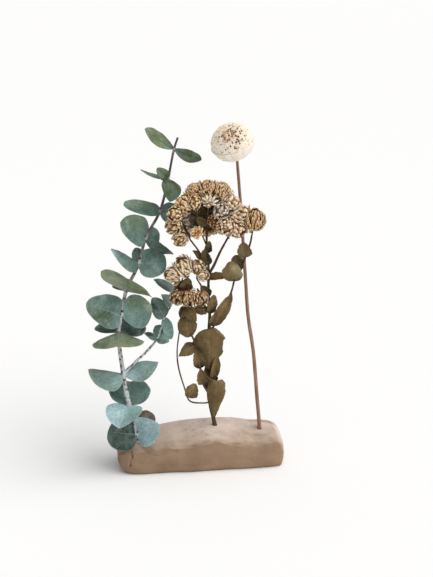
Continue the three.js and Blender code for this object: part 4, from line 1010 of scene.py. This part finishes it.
head_centres = np.array([row[1] for row in HEADS], float)
head_radii = np.array([row[2] for row in HEADS])
head_axes = unit([row[3] for row in HEADS])
print(len(HEADS), "heads,", head_radii.min(), "to", head_radii.max(), "mm in radius")


def room(head, directions):
    """How far a head may reach in each direction before the planes that part it from its neighbours."""
    reach = np.full(len(directions), 1e3)
    for other in range(len(HEADS)):
        if other == head:
            continue
        between_heads = head_centres[other] - head_centres[head]
        distance = np.linalg.norm(between_heads)
        cores = CORE ** 2 * (head_radii[head] ** 2 - head_radii[other] ** 2)
        slant = directions @ between_heads / distance
        plane = (distance + cores / distance) / 2 - HEAD_AIR / 2
        reach = np.where(slant > 1e-3, np.minimum(reach, plane / np.maximum(slant, 1e-3)), reach)
    return reach


# %% [markdown]
# Nature spaces bracts by the golden angle, a third of a turn and a bit more from each to the next,
# which fills a dome evenly without rows. A bract is a pointed scale with four sides: a ridge on its
# outer face, two thin edges and a back. Hundreds are made at once as one block of numbers.

# %% Building bracts
BRACT_STEPS = np.array([0.0, 0.25, 0.5, 0.7, 0.86, 0.96, 1.0])
BRACT_SWELL = np.array([0.5, 0.8, 1.0, 0.95, 0.72, 0.42, 0.1])
RIDGE = np.array([0.0, 1.0, 0.0, -0.6])  # the four sides of a bract: edge, ridge, edge, back


def golden_dome(count, lowest):
    """Directions spread evenly from straight up down to a height, each turned by the golden angle."""
    height = 1 - (1 - lowest) * (np.arange(count) + 0.5) / count
    turn = np.arange(count) * math.pi * (3 - math.sqrt(5))
    out = np.sqrt(1 - height ** 2)
    return np.stack([out * np.cos(turn), out * np.sin(turn), height], axis=1)


def turned(directions, axis):
    """The same directions with +Z turned to the axis."""
    turn = Vector((0, 0, 1)).rotation_difference(Vector(axis)).to_matrix()
    return directions @ np.array(turn).T


def bracts(roots, bends, tips, outwards, widths, thin):
    """Closed pointed scales from roots to tips, bent over the places between."""
    t = BRACT_STEPS[:, None, None]
    spine = (1 - t) ** 2 * roots + 2 * t * (1 - t) * bends + t ** 2 * tips
    ahead = unit(2 * (1 - t) * (bends - roots) + 2 * t * (tips - bends) + 1e-6)
    side = unit(np.cross(ahead, outwards[None]) + 1e-6)
    lift = np.cross(side, ahead)
    half = (BRACT_SWELL[:, None] * widths[None] / 2)[..., None]
    rings = [spine + side * half, spine + lift * half * thin,
             spine - side * half, spine - lift * half * thin * 0.5]
    points = np.stack(rings, axis=2).transpose(1, 0, 2, 3)
    count, steps = points.shape[:2]
    own = ring_faces(steps, 4) + [[3, 2, 1, 0], [steps * 4 - 4 + n for n in range(4)]]
    faces = (np.arange(count)[:, None, None] * steps * 4 + np.array(own)[None]).reshape(-1, 4).tolist()
    values = {"along": np.tile(np.repeat(BRACT_STEPS, 4), count), "ridge": np.tile(RIDGE, count * steps),
              "draw": np.repeat(rng.random(count), steps * 4)}
    return points.reshape(-1, 3), faces, values


def round_core(centre, reach_of, rows=9, around=14):
    """The middle of a head: a ball whose reach in each direction is given."""
    tilt = np.linspace(0, np.pi, rows + 2)[1:-1]
    turn = full_turn(around)
    out = np.stack([np.outer(np.sin(tilt), np.cos(turn)), np.outer(np.sin(tilt), np.sin(turn)),
                    np.outer(np.cos(tilt), np.ones(around))], axis=2).reshape(-1, 3)
    out = np.vstack([out, [[0, 0, 1], [0, 0, -1]]])
    faces = [quad[:1] + quad[:0:-1] for quad in ring_faces(rows, around)]
    top, foot, last = rows * around, rows * around + 1, (rows - 1) * around
    for n in range(around):
        faces.append([top, n, (n + 1) % around])
        faces.append([foot, last + (n + 1) % around, last + n])
    points = centre + out * reach_of(out)[:, None]
    plain = np.full(len(points), 0.45)
    return points, faces, {"along": plain, "draw": plain / 3, "ridge": plain}


# %% [markdown]
# The heads differ. The dome on top is fine and grainy, its rim has longer scales, the heads on the
# right carry broad drop-shaped bracts, the left ones are worn and ragged, the ball has long scales
# that run up its side, and the sprays are brushes, one of them hanging down. Each look has its own
# spacing and width of bract, how far a bract lies along the dome, and three colours from the held
# end to the tip. A bract also draws its own shade, as some have browned and a few have gone dark.
# The bracts themselves are paper-thin and dry, so their finish is matt and lets light glow through.
# Their brown flecks are a few tenths of a millimetre wide, and drawn at 1 to 2 mm, so that they show.

# %% Bract looks
LOOKS = {  # slot; tip spacing, width, mm; run along the dome, radians; unevenness; root, body, tip
    "dome": ("tan", 1.8, 1.65, 0.50, 0.08, "#94693f", "#d6a97c", "#f8dcb4"),
    "rim": ("tan", 2.5, 2.3, 0.85, 0.20, "#ac7846", "#f0c08a", "#ffecc8"),
    "ragged": ("olive", 2.5, 2.3, 0.85, 0.28, "#9e7344", "#eac090", "#ffecca"),
    "grey": ("olive", 2.6, 3.2, 0.60, 0.10, "#b09a84", "#e2d3c4", "#fdf8f2"),
    "amber": ("amber", 2.5, 2.2, 0.70, 0.26, "#7c4a28", "#cf9460", "#f4d0a4"),
    "peach": ("amber", 3.0, 3.0, 0.80, 0.30, "#b07c4c", "#ecb480", "#ffdcb2"),
    "pale": ("pale", 2.9, 3.4, 0.65, 0.20, "#bb9f84", "#ecd6c4", "#fff4ea"),
    "petal": ("cream", 2.7, 2.7, 0.80, 0.20, "#c48c5c", "#fbd2aa", "#fff0de"),
    "tulip": ("cream", 3.3, 3.5, 0.75, 0.20, "#c8966a", "#fbe0c0", "#fffaf0"),
    "ball": ("tan", 2.3, 2.0, 1.05, 0.12, "#50321d", "#bf9060", "#f8d8aa"),
    "brush": ("cream", 2.4, 2.1, 1.15, 0.16, "#b07c48", "#fad0a4", "#fff0de"),
    "hanging": ("dusty", 2.5, 2.3, 1.20, 0.20, "#382214", "#8e623a", "#f8dab0"),
}
SHADES = ([0.0, 0.12, 0.3, 0.7, 1.0], [0.55, 0.76, 0.97, 1.1, 1.22])  # a bract's draw and its brightness
PAPER_LIMIT = 0.9  # papery bracts throw back no more of the light than this
GLOW_DEPTH = 0.9  # mm that light travels inside, about three bracts deep


def bract_tone(values, look, head_shade):
    """The colour at every point of a head's bracts, from held end to tip, with painted light on the ridge
    and painted shade on the back and edges.
    """
    root, body, tip = (np.array(linear(colour)) for colour in LOOKS[look][5:])
    along, draw, ridge = (values[name][:, None] for name in ("along", "draw", "ridge"))
    tone = toward(root, body, smoothstep(0.25, 0.72, along))
    tone = toward(tone, tip, smoothstep(0.62, 1.0, along - 0.25 * draw + 0.1))
    # painted light and shade: the ridge is lit brighter, the back and the edges are darker
    brightness_and_ridge_light = np.interp(draw, *SHADES) * (0.92 + 0.16 * ridge) * head_shade
    tone = tone * brightness_and_ridge_light * (1 - 0.12 * (1 - np.abs(ridge)) * (along < 0.99))
    tone = np.minimum(tone, PAPER_LIMIT)
    tone[:, 3] = 1
    return tone


def bract_finish(slot):
    """Papery bract, air dried: matt and fibrous, flecked brown, so thin that light glows through it."""
    material, tree, shader = new_material(f"bract_air_dried_papery_{slot}", 0.75, specular=0.25)
    position = add(tree, "NewGeometry").outputs["Position"]
    tone = add(tree, "Attribute", {"attribute_name": "tone"})
    flecks = add(tree, "TexNoise", {"Scale": 620.0, "Detail": 3.0, "Roughness": 0.6}, {"Vector": position})
    flecked = shaded_by(tree, tone.outputs["Color"], flecks, 0.32, 0.62, 0.8, 1.12)
    dress(tree, shader, flecked, flecks.outputs["Fac"], 0.4, 0.2)
    shader.inputs["Subsurface Weight"].default_value = 0.4
    shader.inputs["Subsurface Radius"].default_value = (1.0, 0.92, 0.85)
    shader.inputs["Subsurface Scale"].default_value = GLOW_DEPTH * MM
    return material


bract_finishes = {slot: bract_finish(slot) for slot in sorted({row[0] for row in LOOKS.values()})}

# %% [markdown]
# A head grows from a solid round core. Each golden-angle place on the dome gets one bract, nudged a
# little so that no two heads look the same. It is rooted lower in the core than it ends, because
# real scales overlap upwards like tiles, and it stops short at the plane to the next head. In the
# middle of a head the bracts are broader and close over it. Where heads press on each other they
# grow longer, so that the valley between them is filled.

# %% Growing the heads
PLACE_ROOM = 0.87  # the room of one of the closely packed places, as a part of its spacing squared
ROOTED = 0.85  # bracts start this far out in the core, as a part of its radius
CORE_FACE = 0.95  # the core's own face, just over the roots, as the same part
BULGE = 1.04  # a bract bends over at a place this much further out than its tip
BRACT_THIN = 0.34  # how high a bract's ridge stands, as a part of its half width


def leaned(ways, axis, angle):
    """Directions turned away from the head's axis by an angle, down the side of the dome."""
    height = (ways @ axis)[:, None]
    sideways = unit(ways - axis * height + 1e-9)
    tilt = np.arccos(np.clip(height, -1, 1)) + np.asarray(angle).reshape(-1, 1)
    tilt = np.minimum(tilt, math.radians(165))
    return axis * np.cos(tilt) + sideways * np.sin(tilt)


def grow_head(head):
    """One head, its core and all its bracts, and how many bracts there are."""
    look, _, radius, _, _ = HEADS[head]
    centre, axis = head_centres[head], head_axes[head]
    _, spacing, width, lie, uneven = LOOKS[look][:5]
    count = round(2 * math.pi * radius ** 2 * (1 - LOWEST) / (PLACE_ROOM * spacing ** 2))
    ways = unit(turned(golden_dome(count, LOWEST), axis) + rng.normal(0, 0.3 * uneven + 0.03, (count, 3)))
    free = room(head, ways)
    valley = 1 + VALLEY * smoothstep(1.7, 1.1, free / radius)
    reach = np.minimum(radius * valley * (1 - uneven * rng.random(count) ** 1.5), free)
    keep = free > CORE * radius * 0.9
    ways, reach = ways[keep], reach[keep]
    crown = smoothstep(0.75, 0.95, ways @ axis)  # 1 in the middle of the head, 0 down its side
    lies = lie * (0.75 + 0.5 * rng.random(len(ways))) * (1 - 0.4 * crown)
    root_way, bend_way = leaned(ways, axis, lies), leaned(ways, axis, lies * 0.5)
    roots = centre + root_way * np.minimum(radius * CORE * ROOTED, room(head, root_way))[:, None]
    bends = centre + bend_way * np.minimum(reach * BULGE, room(head, bend_way))[:, None]
    tips = centre + ways * reach[:, None]
    widths = width * (0.7 + 0.7 * rng.random(len(ways))) * (1 + 0.4 * crown)
    scales = bracts(roots, bends, tips, ways, widths, BRACT_THIN)
    core = round_core(centre, lambda out: np.minimum(radius * CORE * CORE_FACE, room(head, out)))
    points, faces, values = joined([scales, core])
    tone = bract_tone(values, look, 0.9 + 0.2 * rng.random())
    return (points, faces, {"tone": tone}), len(ways)


bract_total = 0
for head, row in enumerate(HEADS):
    part, bract_count = grow_head(head)
    bract_total += bract_count
    name = f"flower_head_{head + 1:02d}"
    slot = LOOKS[row[0]][0]
    make_piece(name + "_bracts", part, bract_finishes[slot], name)
print(len(HEADS), "heads with", bract_total, "bracts")

# %% [markdown]
# Two heads have opened into tufts of long bracts, one cream like a tiny tulip in the middle of the
# dome and one peach below it. They are made with the same scales, longer and fewer.

# %% Tufts of long bracts
TUFTS = [  # name, look, centre, way it faces, where its stem starts, bract length, spread in degrees
    ("flower_tuft_middle", "tulip", (6, -7, 222), (0, -0.45, 0.9), "heart", 9, 66),
    ("flower_tuft_peach", "peach", (-2, -7, 200), (-0.5, -0.85, 0.3), "heart", 8, 65),
]
TUFT_BRACTS = 22  # in each tuft
TUFT_WIDE = 3.3  # mm across a bract
TUFT_THIN = 0.3  # how high its ridge stands, as a part of its half width
TUFT_CORE = 0.24  # radius of the solid middle, as a part of a bract's length
TUFT_SHADE = 1.05  # both are a little brighter than the heads round them

for name, look, centre, axis, _, length, spread in TUFTS:
    centre, axis = np.array(centre, float), unit(axis)
    ways = turned(golden_dome(TUFT_BRACTS, math.cos(math.radians(spread))), axis)
    reach = length * (0.75 + 0.25 * rng.random(len(ways)))[:, None]
    bends = centre + unit(ways + axis * 0.2) * reach * 0.6
    long_bracts = bracts(centre - ways * 0.4, bends, centre + ways * reach, ways + axis * 0.3,
                         np.full(len(ways), TUFT_WIDE), TUFT_THIN)
    middle = round_core(centre, lambda out: np.full(len(out), length * TUFT_CORE))
    points, faces, values = joined([long_bracts, middle])
    slot = LOOKS[look][0]
    make_piece(name + "_bracts", (points, faces, {"tone": bract_tone(values, look, TUFT_SHADE)}),
               bract_finishes[slot], name)
print(len(TUFTS), "tufts of", TUFT_BRACTS, "bracts")

# %% [markdown]
# Every head hangs on a hair-thin stem of its own, which leaves the stalk and enters the head from
# behind. They are made here, now that the heads are known, and joined to the stalk's stems.

# %% The thin stems, and the whole stalk
THIN_ENDS = (0.6, 0.75)  # radius where a thin stem leaves the stalk and where it meets the head
NECK, SUNK = 3.0, 1.2  # mm that a thin stem runs straight before the core, and runs on into it

held = [(head_centres[n], head_radii[n] * CORE, head_axes[n], row[4]) for n, row in enumerate(HEADS)]
held += [(np.array(row[2], float), row[5] * 0.3, unit(row[3]), row[4]) for row in TUFTS]
thin_stems = []
for centre, core, axis, start in held:
    end = centre - axis * (core + 0.3)
    path = smooth_path([SPOTS[start], end - axis * NECK, end + axis * SUNK], 2.0)
    thin_stems.append(tube(path, np.linspace(*THIN_ENDS, len(path)), 6))
make_piece("dried_stems", joined(dry_stems + thin_stems), dry_bark, "dried_flower_stalk")
make_piece("dried_leaves", joined(dry_leaves), dry_leaf, "dried_flower_stalk")
print(len(thin_stems), "thin stems")

# %% [markdown]
# ## The button head
# On the right stands a single hard, straight stem with one large button: a domed disc packed with
# cream florets, some fallen out and leaving brown pits, in a shallow cup of papery bracts. The disc
# is a fine dome of points lifted into hundreds of small cushions, one round each golden-angle place,
# with grooves between them. The pits are cushions pressed in instead of out.

# %% Button disc
BUTTON = np.array([27.5, 13, 269.0])  # the middle of the disc's widest ring
BUTTON_WAY = unit([-0.32, -0.33, 0.89])  # the way it faces
DISC_WIDE, DISC_TALL = 16.6, 13.4  # radius and height of the dome
DISC_RISE = 0.85  # how high a cushion stands
DISC_EDGE = -0.5  # below this height the cushions fade out
DISC_FLOOR = -2.7  # nothing of the disc lies below this height, where the cup's floor is
DISC_FLORETS = 760
DISC_GRAIN = np.array([1, 0.68, 1])  # shortens distances one way, which makes florets longer that way
DISC_SHAPE = [DISC_WIDE, DISC_WIDE, DISC_TALL]
# the worn side also lies away from the light and gets painted shade
WEAR_AND_SHADE_WAY, WEAR_AND_SHADE_WIDE = unit([-0.24, -0.76, 0.6]), 0.4  # the side where the florets are worn
FLORET_TONES = [np.array(linear(colour)) for colour in ("#fff7ea", "#fbe3c6", "#cc9e72", "#4a3020")]

disc_ways = unit(golden_dome(DISC_FLORETS, -0.1) + rng.normal(0, 0.028, (DISC_FLORETS, 3)))
florets = kdtree.KDTree(DISC_FLORETS)
for n, way in enumerate(disc_ways):
    florets.insert(way * DISC_SHAPE * DISC_GRAIN, n)
florets.balance()
floret_draw = rng.random(DISC_FLORETS)
floret_wear_and_shade = np.exp(-np.sum((turned(disc_ways, BUTTON_WAY) - WEAR_AND_SHADE_WAY) ** 2, axis=1) / WEAR_AND_SHADE_WIDE)
floret_cluster = np.array([noise.noise(Vector(way * 5.5)) for way in disc_ways])
floret_gone = (floret_draw + 0.12 * floret_cluster < 0.32 * floret_wear_and_shade) * 1.0
floret_tan = (floret_draw[::-1] < 0.02 + 0.5 * floret_wear_and_shade) * (1 - floret_gone)
print(int(floret_gone.sum()), "florets have fallen out,", int(floret_tan.sum()), "have gone tan")


def button_disc(rows=150, around=300):
    """The dome as rings from its middle down to the cup's floor, with the cushions raised."""
    tilt = np.linspace(0.004, 1, rows) * (np.pi / 2 + 0.2)
    turn = full_turn(around)
    light, cream, tan, dark = FLORET_TONES
    points, tones = [], []
    for a in tilt:
        for b in turn:
            way = np.array([math.sin(a) * math.cos(b), math.sin(a) * math.sin(b), math.cos(a)])
            spot = way * DISC_SHAPE
            wander = noise.noise_vector(Vector(spot) * 0.9) * 0.45
            (_, n, first), (_, _, second) = florets.find_n((Vector(spot) + wander) * Vector(DISC_GRAIN), 2)
            wear_and_shade, gone, tanned = floret_wear_and_shade[n], floret_gone[n], floret_tan[n]
            edge = (second - first) / max(second + first, 1e-6)
            cushion = float(smoothstep(0, 0.5, edge))
            low = float(smoothstep(DISC_EDGE - 1.5, DISC_EDGE + 1.0, spot[2]))
            rise = DISC_RISE * (0.33 + (0.35 + 0.4 * floret_draw[n]) * cushion * (1 - gone) * low)
            spot = spot + unit(spot) * rise
            spot[2] = max(spot[2], DISC_FLOOR)
            points.append(spot)
            # a creamier, darker tone on the worn side, partly wear and partly painted shade
            tone = toward(light, cream, (0.1 + 0.6 * wear_and_shade) * (0.6 + 0.4 * floret_draw[n]))
            # tan florets, and painted shade in the grooves between cushions on the worn side
            tone = toward(tone, tan, (0.75 * tanned + 0.35 * wear_and_shade * (1 - cushion) * (1 - tanned)) * low)
            tones.append(toward(tone, dark, gone * min(1.0, 0.25 + cushion * 1.3) * low))
    skin, faces = closed_skin(np.array(points), rows, around, shrinks=(0.5,))
    tones = np.vstack([tones, np.tile(cream, (len(skin) - len(points), 1))])
    return BUTTON + turned(skin, BUTTON_WAY), faces, {"tone": tones}


# %% [markdown]
# Dried florets are matt and chalky cream. Where the disc is worn, on its left and near side, some
# cushions have turned tan and others have fallen out and left dark brown pits. Its left lies away
# from the light, and there the cream is darkened and the grooves between cushions tanned as painted
# shade. The colours lie on the points already, so the finish only breaks them up with grain. Real
# grain is about a tenth of a millimetre wide and is drawn at about 1 mm, so that it shows.

# %% Button disc finish
def floret_finish():
    """Chalky dried florets: the tones of the points, with soft patches and fine grain."""
    material, tree, shader = new_material("florets_air_dried_chalky", 0.85, specular=0.25)
    position = add(tree, "NewGeometry").outputs["Position"]
    tone = add(tree, "Attribute", {"attribute_name": "tone"})
    soft = add(tree, "TexNoise", {"Scale": 420.0, "Detail": 3.0}, {"Vector": position})
    fine = add(tree, "TexNoise", {"Scale": 1200.0, "Detail": 2.0}, {"Vector": position})
    patched = shaded_by(tree, tone.outputs["Color"], soft, 0.3, 0.65, 0.88, 1.04)
    dress(tree, shader, patched, fine.outputs["Fac"], 0.4, 0.3)
    return material


disc_part = button_disc()
make_piece("button_disc", disc_part, floret_finish(), "button_florets")
print("button disc:", len(disc_part[1]), "faces")

# %% [markdown]
# The cup is a round of thin bracts pressed together, which show as shallow lengthwise ridges with a
# slit here and there. It is one surface turned round the button's axis, its ridges raised by a
# wave, with a thin rim that stands round the disc. The stem under it is straight and woody.

# %% Button cup and stem
CUP_OUTSIDE = [(-15, 2.2), (-14.3, 6.5), (-12.4, 10.5), (-9.5, 13.8), (-6, 16.2), (-3.2, 17.5), (-1.2, 17.9)]
CUP_INSIDE = [(-0.9, 17.4), (-1.3, 16.95), (-3, 16.95)]  # both are rows of height and radius
CUP_BRACTS = 12  # broad ones round the cup, each with five fine ridges
CUP_RIDGE, CUP_FINE, CUP_ROUGH = 0.4, 0.22, 0.3  # mm that broad ridges, fine ones and unevenness rise


def button_cup(around=144):
    """The cup as rings from its foot up its outside, over the rim and down to its floor."""
    outside = smooth_path([(r, 0, h) for h, r in CUP_OUTSIDE], 0.9)
    profile = [(r, h, 1) for r, _, h in outside] + [(r, h, 0) for h, r in CUP_INSIDE]
    points, slit_shade = [], []
    for radius, height, outer in profile:
        share = smoothstep(-15, -11, height) if outer else 0.3
        for a in full_turn(around):
            wave = math.cos(CUP_BRACTS * a)
            fine = CUP_FINE * math.cos(CUP_BRACTS * 5 * a + 0.6 * height)
            rough = CUP_ROUGH * noise.noise(Vector((math.cos(a) * 3, math.sin(a) * 3, height / 4)))
            reach = radius + (wave * CUP_RIDGE + fine + rough) * share
            points.append((reach * math.cos(a), reach * math.sin(a), height))
            # painted shade in the slits between the broad bracts
            gap = smoothstep(-0.9, -1.0, wave) * outer
            slit_shade.append(gap * (0.5 + 0.5 * noise.noise(Vector((a * 2, height / 3, 4)))))
    skin, faces = closed_skin(np.array(points), len(profile), around, shrinks=(0.6, 0.3))
    slit_shade = np.concatenate([slit_shade, np.zeros(len(skin) - len(slit_shade))])
    return BUTTON + turned(skin, BUTTON_WAY), faces, {"slit_shade": slit_shade}


def cup_finish():
    """Cream papery bracts pressed together, with painted shade in the slits between them."""
    material, tree, shader = new_material("bracts_pressed_papery", 0.7, specular=0.3)
    position = add(tree, "NewGeometry").outputs["Position"]
    slit_shade = add(tree, "Attribute", {"attribute_name": "slit_shade"})
    soft = add(tree, "TexNoise", {"Scale": 180.0, "Detail": 4.0, "Roughness": 0.6}, {"Vector": position})
    paper = add(tree, "ValToRGB", {"stops": [(0.35, "#fbebd6"), (0.65, "#fffaf3")]},
                {"Fac": soft.outputs["Fac"]})
    shadowed = add(tree, "Mix", {"data_type": "RGBA", 7: linear("#dcc4a8")},
                   {0: slit_shade.outputs["Fac"], 6: paper.outputs["Color"]})
    dress(tree, shader, shadowed.outputs[2], soft.outputs["Fac"], 0.4, 0.4)
    return material


cup_part = button_cup()
make_piece("button_cup_bracts", cup_part, cup_finish(), "button_cup")
button_points, button_ends = STEMS["button"]
button_path = smooth_path(button_points, 1.6)
girth = np.array([1 + 0.06 * noise.noise(Vector(spot) / 9) for spot in button_path])
stem_part = tube(button_path, np.linspace(*button_ends, len(button_path)) * girth, 16)
wood = fibrous_finish("flower_stem_air_dried_woody", "#7a5846", "#a88670", 0.65)
make_piece("button_stem_woody", stem_part, wood, "button_stem")
print("button cup:", len(cup_part[1]), "faces; stem:", len(stem_part[1]), "faces")
